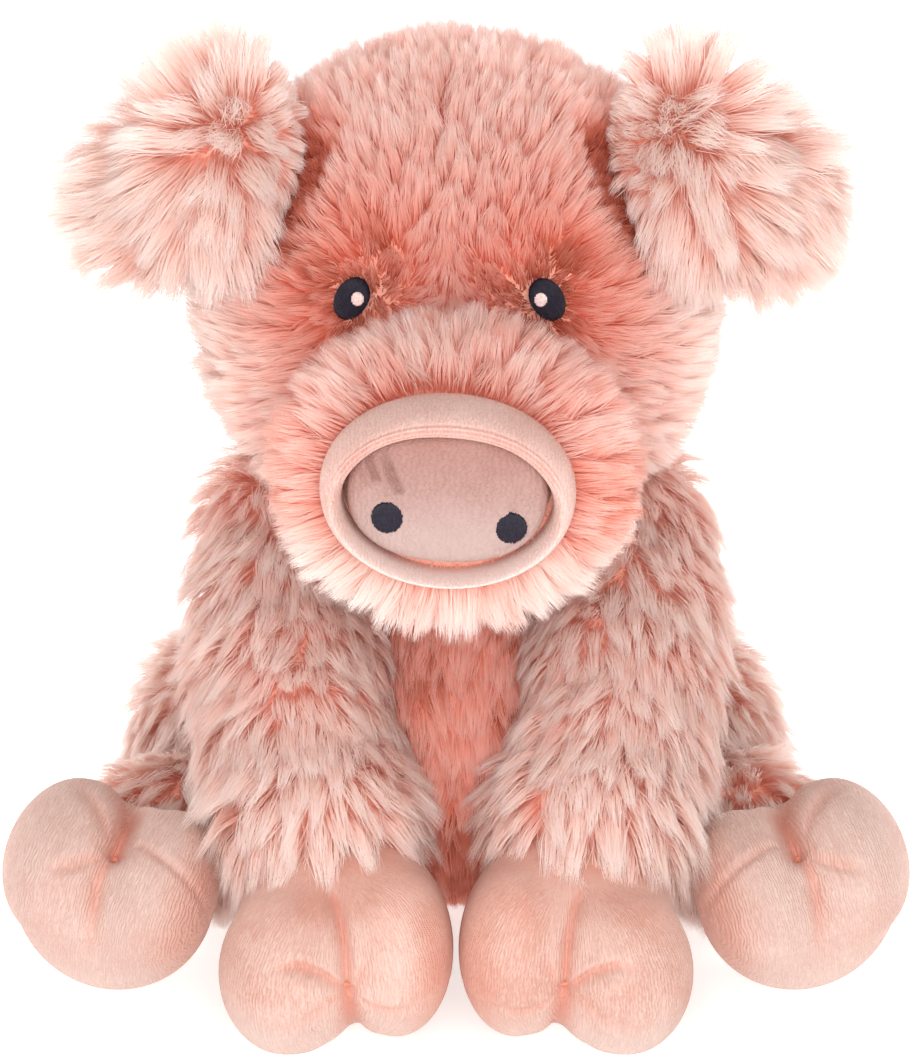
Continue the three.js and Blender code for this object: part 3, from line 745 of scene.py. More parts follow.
# %% The tree that grows the pile: locks and tufts
PILE_INPUTS = {
    "Hairs": "Collection", "Hairs per Area": "Float", "Lock Spacing": "Float", "Lock Pull": "Float",
    "Tuft Spacing": "Float", "Tuft Pull": "Float", "Tuft Accord": "Float", "Hair Length": "Float",
    "Hair Width": "Float", "Tousle": "Float", "Lock Contrast": "Float", "Panel": "Int", "Seed": "Int",
    "Floor": "Float", "Material": "Material",
}
pile_tree, pile_ids, given = new_tree("pile", PILE_INPUTS)
position = add_node(pile_tree, "GeometryNodeInputPosition").outputs[0]
MOST_POINTS_PER_AREA = 400000.0


def spread_points(spacing, seed_step):
    """Evenly spaced points on the backing."""
    return add_node(pile_tree, "GeometryNodeDistributePointsOnFaces", {
        "Mesh": given["Geometry"], "Distance Min": spacing, "Density Max": MOST_POINTS_PER_AREA,
        "Seed": maths(pile_tree, "ADD", given["Seed"], seed_step),
    }, distribute_method="POISSON")


def from_nearest(points, value, kind):
    """A value of the nearest of some points, such as where the tip of the nearest lock is."""
    nearest = add_node(pile_tree, "GeometryNodeSampleNearest", {"Geometry": result(points, "Points")})
    return result(add_node(pile_tree, "GeometryNodeSampleIndex", {
        "Geometry": result(points, "Points"), "Value": value, "Index": result(nearest),
    }, data_type=kind))


def combed(stray_share, length_low, length_high, seed, swirl=None):
    """Where a hair would end if it followed the comb alone, measured from its root."""
    stray = random_value(pile_tree, "FLOAT_VECTOR", [-stray_share] * 3, [stray_share] * 3, seed)
    stray = vectors(pile_tree, "SCALE", stray, scale=given["Tousle"])
    if swirl is not None:
        stray = vectors(pile_tree, "ADD", stray, vectors(pile_tree, "SCALE", swirl, scale=given["Tousle"]))
    lean = vectors(pile_tree, "ADD", named(pile_tree, "comb", "FLOAT_VECTOR"), stray)
    length = maths(pile_tree, "MULTIPLY", named(pile_tree, "length"), given["Hair Length"])
    length = maths(pile_tree, "MULTIPLY", length, random_number(pile_tree, length_low, length_high, seed + 1))
    return vectors(pile_tree, "SCALE", vectors(pile_tree, "NORMALIZE", lean), scale=length)


def pulled(own, tip, pull):
    """The same hair drawn towards a tip by a share of the way."""
    off = vectors(pile_tree, "SUBTRACT", vectors(pile_tree, "SUBTRACT", tip, position), own)
    return vectors(pile_tree, "ADD", own, vectors(pile_tree, "SCALE", off, scale=pull))


# A slow change from place to place that locks and tufts share, as after a hand has gone through the pile
SWIRL_SCALE, SWIRL_REACH = 55.0, 2.2
swirl = add_node(pile_tree, "ShaderNodeTexNoise", {"Scale": SWIRL_SCALE, "Detail": 1.0})
swirl = vectors(pile_tree, "SUBTRACT", result(swirl, "Color"), (0.5, 0.5, 0.5))
swirl = vectors(pile_tree, "SCALE", swirl, scale=SWIRL_REACH)

locks = spread_points(given["Lock Spacing"], 2.0)
lock_lean = combed(stray_share=0.5, length_low=0.9, length_high=1.15, seed=41, swirl=swirl)
lock_tip = from_nearest(locks, vectors(pile_tree, "ADD", position, lock_lean), "FLOAT_VECTOR")
lock_tint = from_nearest(locks, random_number(pile_tree, -1.0, 1.0, seed=43), "FLOAT")

tufts = spread_points(given["Tuft Spacing"], 1.0)
lock_pull = maths(pile_tree, "MULTIPLY", given["Lock Pull"], random_number(pile_tree, 0.3, 1.3, seed=47))
tuft_lean = combed(stray_share=0.45, length_low=0.78, length_high=1.15, seed=3, swirl=swirl)
tuft_lean = pulled(tuft_lean, lock_tip, lock_pull)
tuft_tip = from_nearest(tufts, vectors(pile_tree, "ADD", position, tuft_lean), "FLOAT_VECTOR")
tuft_lean = from_nearest(tufts, tuft_lean, "FLOAT_VECTOR")
tuft_tint = from_nearest(tufts, random_number(pile_tree, -1.0, 1.0, seed=7), "FLOAT")
print("pile tree so far:", len(pile_tree.nodes), "nodes")

# %% Hairs lean to the nearest tuft
panel = maths(pile_tree, "COMPARE", named(pile_tree, "panel", "INT"), given["Panel"], 0.5)
density = maths(pile_tree, "MULTIPLY", named(pile_tree, "thick"), given["Hairs per Area"])
density = maths(pile_tree, "MULTIPLY", density, panel)
roots = add_node(pile_tree, "GeometryNodeDistributePointsOnFaces", {
    "Mesh": given["Geometry"], "Density": density, "Seed": given["Seed"],
}, distribute_method="RANDOM")
tuft_pull = maths(pile_tree, "MULTIPLY", given["Tuft Pull"], random_number(pile_tree, 0.6, 1.3, seed=17))
own = combed(stray_share=0.5, length_low=0.80, length_high=1.08, seed=11)
alike = vectors(pile_tree, "SUBTRACT", tuft_lean, own)
alike = vectors(pile_tree, "SCALE", alike, scale=given["Tuft Accord"])
end = pulled(vectors(pile_tree, "ADD", own, alike), tuft_tip, tuft_pull)

# %% Stand the ribbons on the cloth
ROLL = 0.55
TUFT_CONTRAST, HAIR_CONTRAST = 0.13, 0.09
length_out = add_node(pile_tree, "ShaderNodeVectorMath", {0: end}, operation="LENGTH").outputs["Value"]
facing = add_node(pile_tree, "FunctionNodeAxesToRotation", {
    "Primary Axis": end, "Secondary Axis": result(roots, "Normal"),
}, primary_axis="Z", secondary_axis="Y")
roll = add_node(pile_tree, "FunctionNodeAxisAngleToRotation", {
    "Axis": (0.0, 0.0, 1.0), "Angle": random_number(pile_tree, -ROLL, ROLL, seed=19),
})
facing = add_node(pile_tree, "FunctionNodeRotateRotation", {
    "Rotation": result(facing), "Rotate By": result(roll),
}, rotation_space="LOCAL")
hair_width = maths(pile_tree, "MULTIPLY", given["Hair Width"], random_number(pile_tree, 0.7, 1.3, seed=23))
scale = add_node(pile_tree, "ShaderNodeCombineXYZ", {"X": hair_width, "Y": length_out, "Z": length_out})
tint = maths(pile_tree, "MULTIPLY_ADD", tuft_tint, TUFT_CONTRAST, named(pile_tree, "tint"))
tint = maths(pile_tree, "MULTIPLY_ADD", lock_tint, given["Lock Contrast"], tint)
tint = maths(pile_tree, "ADD", tint, random_number(pile_tree, -HAIR_CONTRAST, HAIR_CONTRAST, seed=29))
tinted = add_node(pile_tree, "GeometryNodeStoreNamedAttribute", {
    "Geometry": result(roots, "Points"), "Name": "tint", "Value": tint,
}, data_type="FLOAT", domain="POINT")
choices = add_node(pile_tree, "GeometryNodeCollectionInfo", {
    "Collection": given["Hairs"], "Separate Children": True, "Reset Children": True,
})
choice = random_value(pile_tree, "INT", 0, len(hairs.objects) - 1, seed=31)
standing = add_node(pile_tree, "GeometryNodeInstanceOnPoints", {
    "Points": result(tinted), "Instance": result(choices), "Pick Instance": True,
    "Instance Index": choice, "Rotation": result(facing), "Scale": result(scale),
})
whole = add_node(pile_tree, "GeometryNodeRealizeInstances", {"Geometry": result(standing)})
apart = add_node(pile_tree, "ShaderNodeSeparateXYZ", {0: position})
above_floor = result(add_node(pile_tree, "ShaderNodeCombineXYZ", {
    "X": apart.outputs[0], "Y": apart.outputs[1],
    "Z": maths(pile_tree, "MAXIMUM", apart.outputs[2], given["Floor"]),
}))
laid = add_node(pile_tree, "GeometryNodeSetPosition", {"Geometry": result(whole), "Position": above_floor})
print("pile tree so far:", len(pile_tree.nodes), "nodes")

# %% Give every hair its place on the colour map
# The map keeps a thin edge free, and its lowest fifth is the painted shade of hair deep in a gap between two
# covers
MAP_EDGE = 0.02
GAP_SHARE = 0.2
map_tint = maths(pile_tree, "MULTIPLY_ADD", named(pile_tree, "tint"), 1 - GAP_SHARE, GAP_SHARE)
map_tint = maths(pile_tree, "MAXIMUM", map_tint, MAP_EDGE)
hair_map = add_node(pile_tree, "ShaderNodeCombineXYZ", {
    "X": maths(pile_tree, "MINIMUM", map_tint, 1 - MAP_EDGE),
    "Y": maths(pile_tree, "MULTIPLY_ADD", named(pile_tree, "along"), 1 - 2 * MAP_EDGE, MAP_EDGE),
})
flow_on = result(laid)
for label in ("fur", "OFBake"):
    flow_on = result(add_node(pile_tree, "GeometryNodeStoreNamedAttribute", {
        "Geometry": flow_on, "Name": label, "Value": result(hair_map),
    }, data_type="FLOAT2", domain="CORNER"))
dressed = add_node(pile_tree, "GeometryNodeSetMaterial", {"Geometry": flow_on, "Material": given["Material"]})
add_node(pile_tree, "NodeGroupOutput", {"Geometry": result(dressed)})
print("pile tree:", len(pile_tree.nodes), "nodes")

# %% [markdown]
# ## Materials
#
# The hair is dyed polyester: deep salmon near the backing, where little light comes back, and pale at
# the brushed tips. The colour is read from the hair's own map, which holds the tint of its tuft across
# and the way from root to tip along, so it stays on the hair whatever moves. Hair this thin also lets
# light through, so over half of its shading is translucent. Velour is short and dense, so it is matt,
# with a soft sheen at the edges and the fine rows of its knit. Its rim and its cushion on the snout face
# the lamps, so each has tones of its own.

# %% Helpers for materials
SHEEN_ROUGHNESS = 0.4


def new_material(name, roughness, sheen=0.0, specular=0.3):
    material = bpy.data.materials.new(name)
    material.use_nodes = True
    tree = material.node_tree
    shader = tree.nodes["Principled BSDF"]
    shader.inputs["Roughness"].default_value = roughness
    shader.inputs["Specular IOR Level"].default_value = specular
    shader.inputs["Sheen Weight"].default_value = sheen
    shader.inputs["Sheen Roughness"].default_value = SHEEN_ROUGHNESS
    return material, tree, shader


def colour_ramp(tree, factor, stops):
    node = add_node(tree, "ShaderNodeValToRGB", {"Fac": factor})
    steps = node.color_ramp.elements
    while len(steps) > 1:
        steps.remove(steps[-1])
    for number, (place, colour) in enumerate(stops):
        step = steps[0] if number == 0 else steps.new(place)
        step.position = place
        step.color = (*colour, 1)
    return node.outputs["Color"]


def mixed_colour(tree, factor, first, second):
    values = {"Factor": factor, "A": first, "B": second}
    return result(add_node(tree, "ShaderNodeMix", values, data_type="RGBA"))


def bump(tree, shader, height, strength, distance):
    """Let a height show in how the surface catches the light."""
    made = add_node(tree, "ShaderNodeBump", {"Height": height, "Strength": strength, "Distance": distance})
    tree.links.new(made.outputs[0], shader.inputs["Normal"])


# %% Hair
LIGHT_THROUGH = 0.58


def hair_material():
    material, tree, shader = new_material("long_pile", 0.6)
    across = add_node(tree, "ShaderNodeUVMap", uv_map="fur")
    parts = add_node(tree, "ShaderNodeSeparateXYZ", {0: across.outputs[0]})
    # The gap tone is painted shade for hair deep in the crevice between two covers
    gap = colour_ramp(tree, parts.outputs["Y"], [(0.05, (0.48, 0.08, 0.035)), (0.95, (0.74, 0.25, 0.16))])
    deep = colour_ramp(tree, parts.outputs["Y"], [
        (0.05, (0.90, 0.28, 0.165)), (0.45, (0.92, 0.455, 0.355)), (0.95, (0.93, 0.625, 0.54)),
    ])
    pale = colour_ramp(tree, parts.outputs["Y"], [
        (0.05, (0.92, 0.53, 0.425)), (0.45, (0.94, 0.765, 0.70)), (0.95, (0.955, 0.91, 0.88)),
    ])
    share = maths(tree, "DIVIDE", parts.outputs["X"], GAP_SHARE)
    deep = mixed_colour(tree, share, gap, deep)
    share = maths(tree, "MULTIPLY_ADD", parts.outputs["X"], 1 / (1 - GAP_SHARE), -GAP_SHARE / (1 - GAP_SHARE))
    mixed = mixed_colour(tree, share, deep, pale)
    tree.links.new(mixed, shader.inputs["Base Color"])
    glow = add_node(tree, "ShaderNodeBsdfTranslucent", {"Color": mixed})
    both = add_node(tree, "ShaderNodeMixShader", {0: LIGHT_THROUGH, 1: shader.outputs[0], 2: glow.outputs[0]})
    tree.links.new(both.outputs[0], tree.nodes["Material Output"].inputs["Surface"])
    return material


hair_look = hair_material()
print("nodes in the hair's material:", len(hair_look.node_tree.nodes))

# %% Backing cloth and velour
YARN_SCALE, YARN_HEIGHT = 900.0, 0.0004


def backing_material():
    material, tree, shader = new_material("pile_backing", 0.95)
    place = add_node(tree, "ShaderNodeTexCoord").outputs["Object"]
    spots = add_node(tree, "ShaderNodeTexNoise", {"Vector": place, "Scale": YARN_SCALE, "Detail": 3.0})
    colour = colour_ramp(tree, spots.outputs["Fac"], [(0.3, (0.78, 0.33, 0.23)), (0.7, (0.86, 0.46, 0.36))])
    tree.links.new(colour, shader.inputs["Base Color"])
    bump(tree, shader, spots.outputs["Fac"], 0.4, YARN_HEIGHT)
    return material


backing_look = backing_material()

SHEEN_TINT = (1.0, 0.70, 0.60, 1)
# A wave texture of scale one repeats after this length
WAVE_LENGTH = 0.314
STROKE_PITCH = 0.0008
CLOUD_SCALE, GRAIN_SCALE = 60.0, 1500.0
CLOUD_SHARE, STROKE_SHARE, GRAIN_SHARE = 0.50, 0.10, 0.40
# The most painted light and painted shade that the fold map mixes into the nap
MOST_PAINTED_LIGHT, MOST_DEEP = 0.8, 0.65
NAP_HEIGHT = 0.0004


def velour_material(name, low, high, deep, worn):
    """Short nap: low and high are its two tones, deep is painted shade inside a fold, and the last tone is
    painted light where it is pale.
    """
    material, tree, shader = new_material(name, 0.9, sheen=0.35)
    shader.inputs["Sheen Tint"].default_value = SHEEN_TINT
    place = add_node(tree, "ShaderNodeTexCoord").outputs["Object"]
    clouds = add_node(tree, "ShaderNodeTexNoise", {"Vector": place, "Scale": CLOUD_SCALE, "Detail": 3.0})
    rows = add_node(tree, "ShaderNodeAttribute", attribute_name="nap").outputs["Vector"]
    strokes = add_node(tree, "ShaderNodeTexWave", {
        "Vector": rows, "Scale": WAVE_LENGTH / STROKE_PITCH, "Distortion": 8.0, "Detail": 2.0,
        "Detail Scale": 1.5,
    })
    grain = add_node(tree, "ShaderNodeTexNoise", {
        "Vector": rows, "Scale": GRAIN_SCALE, "Detail": 2.0, "Distortion": 1.0,
    })
    mottle = maths(tree, "MULTIPLY", clouds.outputs["Fac"], CLOUD_SHARE)
    mottle = maths(tree, "MULTIPLY_ADD", strokes.outputs["Fac"], STROKE_SHARE, mottle)
    mottle = maths(tree, "MULTIPLY_ADD", grain.outputs["Fac"], GRAIN_SHARE, mottle)
    colour = colour_ramp(tree, mottle, [(0.38, low), (0.62, high)])
    fold_map = add_node(tree, "ShaderNodeUVMap", uv_map="fold").outputs[0]
    maps = add_node(tree, "ShaderNodeSeparateXYZ", {0: fold_map})
    # Painted light by the map's second value, then painted shade of the folds by its first
    colour = mixed_colour(tree, maths(tree, "MULTIPLY", maps.outputs["Y"], MOST_PAINTED_LIGHT), colour, (*worn, 1))
    colour = mixed_colour(tree, maths(tree, "MULTIPLY", maps.outputs["X"], MOST_DEEP), colour, (*deep, 1))
    tree.links.new(colour, shader.inputs["Base Color"])
    height = maths(tree, "MULTIPLY_ADD", grain.outputs["Fac"], 2.0, strokes.outputs["Fac"])
    bump(tree, shader, height, 0.55, NAP_HEIGHT)
    return material


velour_look = velour_material(
    "velour", (0.535, 0.27, 0.212), (0.66, 0.45, 0.39), (0.66, 0.20, 0.12), (0.64, 0.53, 0.485),
)
rim_velour_look = velour_material(
    "rim_velour", (0.58, 0.275, 0.22), (0.72, 0.455, 0.40), (0.44, 0.09, 0.05), (0.76, 0.60, 0.555),
)
snout_velour_look = velour_material(
    "snout_velour", (0.31, 0.145, 0.12), (0.40, 0.225, 0.195), (0.36, 0.12, 0.08), (0.47, 0.36, 0.335),
)
print("velours:", velour_look.name, rim_velour_look.name, snout_velour_look.name)

# %% Threads, filling and pouch
TWIST_SCALE, TWIST_HEIGHT = 1400.0, 0.0001


def thread_material(name, colour, other, roughness=0.45):
    """Fine twisted yarn between two tones."""
    material, tree, shader = new_material(name, roughness, specular=0.25)
    place = add_node(tree, "ShaderNodeTexCoord").outputs["Object"]
    twist = add_node(tree, "ShaderNodeTexNoise", {"Vector": place, "Scale": TWIST_SCALE, "Detail": 2.0})
    tones = colour_ramp(tree, twist.outputs["Fac"], [(0.35, colour), (0.7, other)])
    tree.links.new(tones, shader.inputs["Base Color"])
    bump(tree, shader, twist.outputs["Fac"], 0.3, TWIST_HEIGHT)
    return material


dark_thread_look = thread_material("dark_thread", (0.007, 0.005, 0.012), (0.020, 0.015, 0.030))
pale_thread_look = thread_material("pale_thread", (0.66, 0.46, 0.43), (0.88, 0.70, 0.67))
toe_thread_look = thread_material("toe_thread", (0.68, 0.22, 0.13), (0.84, 0.36, 0.25))
fill_look = thread_material("fibre_fill", (0.80, 0.79, 0.76), (0.93, 0.92, 0.90), 0.95)
pouch_look = thread_material("pouch_cloth", (0.55, 0.53, 0.48), (0.74, 0.72, 0.66), 0.9)
slot_looks = {
    "fibre_fill": fill_look, "pouch_cloth": pouch_look, "velour": velour_look, "long_pile": backing_look,
    "dark_thread": dark_thread_look, "pale_thread": pale_thread_look, "toe_thread": toe_thread_look,
}
for part in frame["record"]["subparts"]:
    frame["nodes"][part["node"]].data.materials.clear()
    frame["nodes"][part["node"]].data.materials.append(slot_looks[part["material_slot"]])
print("materials:", [material.name for material in bpy.data.materials])

# %% [markdown]
# ## Growing the hair
#
# A mesh of more than 200,000 triangles is awkward to handle, so a large cover's hair is grown panel by
# panel, like the gores that such a cover is cut from. The panels run round the cover and hold about the
# same number of hairs each, and the tufts are the same in all of them, so no line shows between two
# panels. Each mesh then moves with the body that it is sewn to, but an ear's cloth and hair only have
# their place baked into the mesh.

# %% Divide a backing into panels
HAIRS_PER_AREA = 3.05e6
MOST_HAIRS = 62000


def divide(piece):
    """Number the faces by panel, going round the piece, and return how many panels there are."""
    mesh = piece.data
    areas = read(mesh.polygons, "area")
    centres = read(mesh.polygons, "center", 3)
    corners = read(mesh.loops, "vertex_index", kind=int)
    thick = read(mesh.attributes["thick"].data, "value")
    weights = areas * thick[corners.reshape(-1, 3)].mean(axis=1) * HAIRS_PER_AREA
    centres = centres.reshape(-1, 3) - centres.reshape(-1, 3).mean(axis=0)
    order = np.argsort(np.arctan2(centres[:, 0], -centres[:, 1]))
    count = math.ceil(weights.sum() / MOST_HAIRS)
    share = np.cumsum(weights[order]) / weights.sum()
    panels = np.empty(len(areas), np.int32)
    panels[order] = np.minimum((share * count).astype(np.int32), count - 1)
    mesh.attributes.new("panel", "INT", "FACE").data.foreach_set("value", panels)
    return count


# %% How each cover is brushed, what it replaces and what it rides on
HAIR_WIDTH = 0.00026
BRUSH_LABELS = (
    "Hair Length", "Lock Spacing", "Lock Pull", "Tuft Spacing", "Tuft Pull", "Tuft Accord", "Tousle",
    "Lock Contrast",
)
BRUSHED = {
    "head": (0.0158, 0.0080, 0.30, 0.0026, 0.48, 0.62, 0.50, 0.10),
    "muzzle": (0.0178, 0.0075, 0.48, 0.0022, 0.42, 0.55, 0.34, 0.30),
    "ear": (0.0215, 0.0095, 0.32, 0.0032, 0.46, 0.60, 1.00, 0.14),
    "body": (0.0155, 0.0085, 0.35, 0.0027, 0.48, 0.62, 0.45, 0.10),
    "front_leg": (0.0175, 0.0090, 0.30, 0.0031, 0.46, 0.68, 0.58, 0.12),
    "hind_leg": (0.0165, 0.0090, 0.36, 0.0031, 0.46, 0.68, 0.56, 0.12),
}
COVER_NODES = {"body": "body_cover", "head": "head_cover", "muzzle": "muzzle_cover"}
RIDES = {"body": "body", "head": "head", "muzzle": "head"}
for side in ("left", "right"):
    COVER_NODES[f"ear_{side}"] = f"ear_{side}"
    RIDES[f"ear_{side}"] = f"ear_{side}"
    for end_name in ("front", "hind"):
        COVER_NODES[f"{end_name}_leg_{side}"] = f"{end_name}_leg_cover_{side}"
        RIDES[f"{end_name}_leg_{side}"] = f"{end_name}_leg_{side}"
print("covers and their nodes:", COVER_NODES)


# %% Grow the pile
def grown(piece, tree, identifiers, values):
    """What a node tree makes of a piece, as a plain mesh, with the modifier gone again."""
    modifier = piece.modifiers.new(tree.name, "NODES")
    modifier.node_group = tree
    for label, value in values.items():
        modifier[identifiers[label]] = value
    depsgraph = bpy.context.evaluated_depsgraph_get()
    mesh = bpy.data.meshes.new_from_object(piece.evaluated_get(depsgraph), depsgraph=depsgraph)
    piece.modifiers.remove(modifier)
    return mesh


def grow_panel(cloth, cover, number, seed):
    """One panel's hair as a plain mesh."""
    kind = cover.replace("_left", "").replace("_right", "")
    values = dict(zip(BRUSH_LABELS, BRUSHED[kind]))
    values.update({
        "Hairs": hairs, "Hairs per Area": HAIRS_PER_AREA, "Hair Width": HAIR_WIDTH, "Panel": number,
        "Seed": seed, "Floor": REST_DEPTH, "Material": hair_look,
    })
    mesh = grown(cloth, pile_tree, pile_ids, values)
    for layer in ("comb", "length", "tint", "thick", "along", "panel"):
        if layer in mesh.attributes:
            mesh.attributes.remove(mesh.attributes[layer])
    mesh.name = f"{cover}_pile_{number + 1}"
    return piece_of(mesh.name, mesh)


def hang(piece, cover):
    """Let a piece of a cover move with its body, or for an ear bake its place into its mesh."""
    if not cover.startswith("ear"):
        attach(piece, RIDES[cover])
        return
    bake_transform(piece)


# %% Dress every cover, and fill the front legs
total = 0
for seed, (cover, cloth) in enumerate(sorted(cloths.items())):
    panels = divide(cloth)
    for number in range(panels):
        pile = grow_panel(cloth, cover, number, seed * 10)
        hang(pile, cover)
        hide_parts(COVER_NODES[cover])
        total += len(pile.data.polygons)
    cloth.data.materials.append(backing_look)
    hang(cloth, cover)
    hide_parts(COVER_NODES[cover])
    print(cover, "has", panels, "panels")
for side, filling in fillings.items():
    filling.data.materials.append(fill_look)
    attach(filling, f"front_leg_{side}")
    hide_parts(f"front_leg_stuffing_{side}")
print("faces in all the hair:", total)

# %% [markdown]
# ## Velour pieces
#
# A trotter is one velour bag. A tuck, a stitch pulled tight through it, draws the toes apart, and
# creases run out from the tuck. The bag's net is drawn in rings round the tuck, so that the lines of the
# net run along the creases and are closest where the creases meet. A crease and a ridge are written as
# lines on the front of the piece, and the net sinks or rises by how near it is to them. The same
# nearness says how much painted shade a fold gets.

# %% Nets and creases
def ring_net(rings, spokes, crowd=1.35):
    """Directions in rings about -Y, closer together at the front, with their faces."""
    directions = [(0.0, -1.0, 0.0)]
    for ring_number in range(1, rings):
        polar = math.pi * (ring_number / rings) ** crowd
        for spoke in range(spokes):
            turn = 2 * math.pi * spoke / spokes
            off_axis = math.sin(polar)
            directions.append((off_axis * math.cos(turn), -math.cos(polar), off_axis * math.sin(turn)))
    directions.append((0.0, 1.0, 0.0))
    faces = []
    last = len(directions) - 1
    for spoke in range(spokes):
        after = (spoke + 1) % spokes
        faces.append((0, 1 + spoke, 1 + after))
        for ring_number in range(rings - 2):
            inner, outer = 1 + ring_number * spokes, 1 + (ring_number + 1) * spokes
            faces.append((inner + spoke, outer + spoke, outer + after, inner + after))
        outer = 1 + (rings - 2) * spokes
        faces.append((outer + spoke, last, outer + after))
    return np.array(directions), faces


def net_faces(rows, columns, closed=False):
    """Faces of a net whose columns run round, and whose rows do so too where it is closed."""
    faces = []
    for row in range(rows if closed else rows - 1):
        next_row = (row + 1) % rows
        for column in range(columns):
            after = (column + 1) % columns
            near_side = (row * columns + column, row * columns + after)
            faces.append((*near_side, next_row * columns + after, next_row * columns + column))
    return faces


def line_distance(points, line):
    """Distance in the plane from points to a line of straight stretches, and the share along it."""
    best = np.full(len(points), np.inf)
    share = np.zeros(len(points))
    stretches = len(line) - 1
    for number in range(stretches):
        start, stop = np.array(line[number]), np.array(line[number + 1])
        run = stop - start
        at = np.clip(((points - start) @ run) / (run @ run), 0, 1)
        off = np.linalg.norm(points - start - at[:, None] * run, axis=1)
        closer = off < best
        best[closer] = off[closer]
        share[closer] = (number + at[closer]) / stretches
    return best, share


def smooth_line(points, steps=6):
    """The same line rounded through its points."""
    points = np.array(points, float)
    ends = np.vstack([2 * points[0] - points[1], points, 2 * points[-1] - points[-2]])
    out = []
    for number in range(len(points) - 1):
        a, b, c, d = ends[number:number + 4]
        for step in range(steps):
            t = step / steps
            bent = (2 * a - 5 * b + 4 * c - d) * t**2
            swung = (3 * b - a - 3 * c + d) * t**3
            out.append(0.5 * (2 * b + (c - a) * t + bent + swung))
    out.append(points[-1])
    return np.array(out)


# Beside a crease the cloth swells: by this share of its depth, this many widths away
SWELL_SHARE, SWELL_AWAY, SWELL_WIDTH = 0.2, 2.1, 1.1
# A crease of this depth looks as dark as any, and its shade is a little wider than the crease
DARKEST_DEPTH, SHADE_WIDTH = 0.0035, 1.1


def folded(flat, creases):
    """How far places sink in creases, less what they rise on ridges, and how much painted shade each one gets
    from the fold it is in.
    """
    sink = np.zeros(len(flat))
    rise = np.zeros(len(flat))
    fold = np.zeros(len(flat))
    for line, depth, width in creases:
        off, share = line_distance(flat, smooth_line(line))
        strength = ramp(share, -0.2, 0.45)
        if depth < 0:
            strength *= ramp(-share, -1.0, -0.75)
            rise = np.maximum(rise, -depth * strength * np.exp(-((off / width) ** 2)))
            continue
        sink = np.maximum(sink, strength * depth * np.exp(-((off / width) ** 2)))
        beside = (off - SWELL_AWAY * width) / (SWELL_WIDTH * width)
        rise = np.maximum(rise, SWELL_SHARE * strength * depth * np.exp(-(beside**2)))
        dark = min(depth / DARKEST_DEPTH, 1) * strength * np.exp(-((off / (SHADE_WIDTH * width)) ** 2))
        fold = np.maximum(fold, dark)
    return sink - rise, fold


def store_map(mesh, name, corner_values):
    """A UV map from one pair of values for each vertex."""
    index = read(mesh.loops, "vertex_index", kind=int)
    mesh.uv_layers.new(name=name).data.foreach_set("uv", corner_values[index].astype(np.float32).ravel())


def velour_piece(mesh, nap, fold, body, node, pale=0.0, look=velour_look):
    """A padded velour piece; nap is the place in the cloth, fold is its painted shade, and pale is how much
    painted light it has.
    """
    whole = bmesh.new()
    whole.from_mesh(mesh)
    bmesh.ops.recalc_face_normals(whole, faces=whole.faces)
    whole.to_mesh(mesh)
    whole.free()
    mesh.shade_smooth()
    store(mesh, "nap", "FLOAT_VECTOR", nap)
    store_map(mesh, "fold", np.stack([fold, np.broadcast_to(pale, len(fold))], axis=-1))
    mesh.materials.append(look)
    piece = piece_of(mesh.name, mesh)
    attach(piece, body)
    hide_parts(node)
    return piece


trotter_net = ring_net(105, 180)
print("net of a trotter:", len(trotter_net[0]), "corners")

# %% Creases of the trotters
# A crease is a line of places, outward and up in metres, from its far end to the tuck, then its depth and
# width. A depth below zero is a ridge.
FRONT_TUCK = (-0.0037, -0.0012)
FRONT_FOLDS = [
    ([(0.0030, 0.0280), (0.0016, 0.0213), (-0.0013, 0.0168), (-0.0032, 0.0090), FRONT_TUCK], 0.0026, 0.0015),
    ([(-0.0010, 0.0213), (-0.0040, 0.0160), (-0.0062, 0.0090), (-0.0055, 0.0030)], -0.0007, 0.0018),
    ([(0.0137, 0.0084), (0.0091, 0.0090), (0.0035, 0.0062), (-0.0006, 0.0022), FRONT_TUCK], 0.0021, 0.0012),
    ([(0.0120, 0.0055), (0.0080, 0.0050), (0.0040, 0.0020), (0.0005, -0.0010)], -0.0010, 0.0020),
    ([(-0.0089, 0.0085), (-0.0064, 0.0022), FRONT_TUCK], 0.0013, 0.0011),
    ([(0.0201, -0.0183), (0.0126, -0.0124), (0.0042, -0.008), (0.0011, -0.0045), FRONT_TUCK],
     -0.0007, 0.0011),
    ([(0.0150, -0.0090), (0.0060, -0.0055), (0.0010, -0.0020), FRONT_TUCK], 0.0010, 0.0016),
    ([(-0.0281, -0.0069), (-0.0221, -0.005), (-0.0152, -0.0056), (-0.009, -0.0045), FRONT_TUCK],
     0.0010, 0.0011),
    ([(-0.0048, -0.0240), (-0.0044, -0.0120), FRONT_TUCK], 0.0030, 0.0022),
]
HIND_TUCK = (-0.0017, -0.0022)
HIND_FOLDS = [
    ([(0.0040, 0.0240), (0.0019, 0.0168), (-0.0008, 0.0095), HIND_TUCK], 0.0046, 0.0028),
    ([(0.0120, -0.0140), (0.0085, -0.0119), (0.0035, -0.0074), HIND_TUCK], 0.0013, 0.0014),
    ([(-0.0030, -0.0240), (-0.0012, -0.0167), (0.0000, -0.0080), HIND_TUCK], 0.0019, 0.0018),
    ([(-0.0110, -0.0180), (-0.0075, -0.0125), (-0.0040, -0.0070), HIND_TUCK], -0.0008, 0.0016),
    ([(-0.029, -0.005), (-0.0242, -0.0042), (-0.0138, -0.0015), (-0.0075, 0.0001), HIND_TUCK],
     0.0008, 0.0012),
    ([(0.0160, 0.0120), (0.0110, 0.0100), (0.0060, 0.0060), HIND_TUCK], 0.0010, 0.0020),
]
print("creases and ridges on a front and a hind trotter:", len(FRONT_FOLDS), len(HIND_FOLDS))

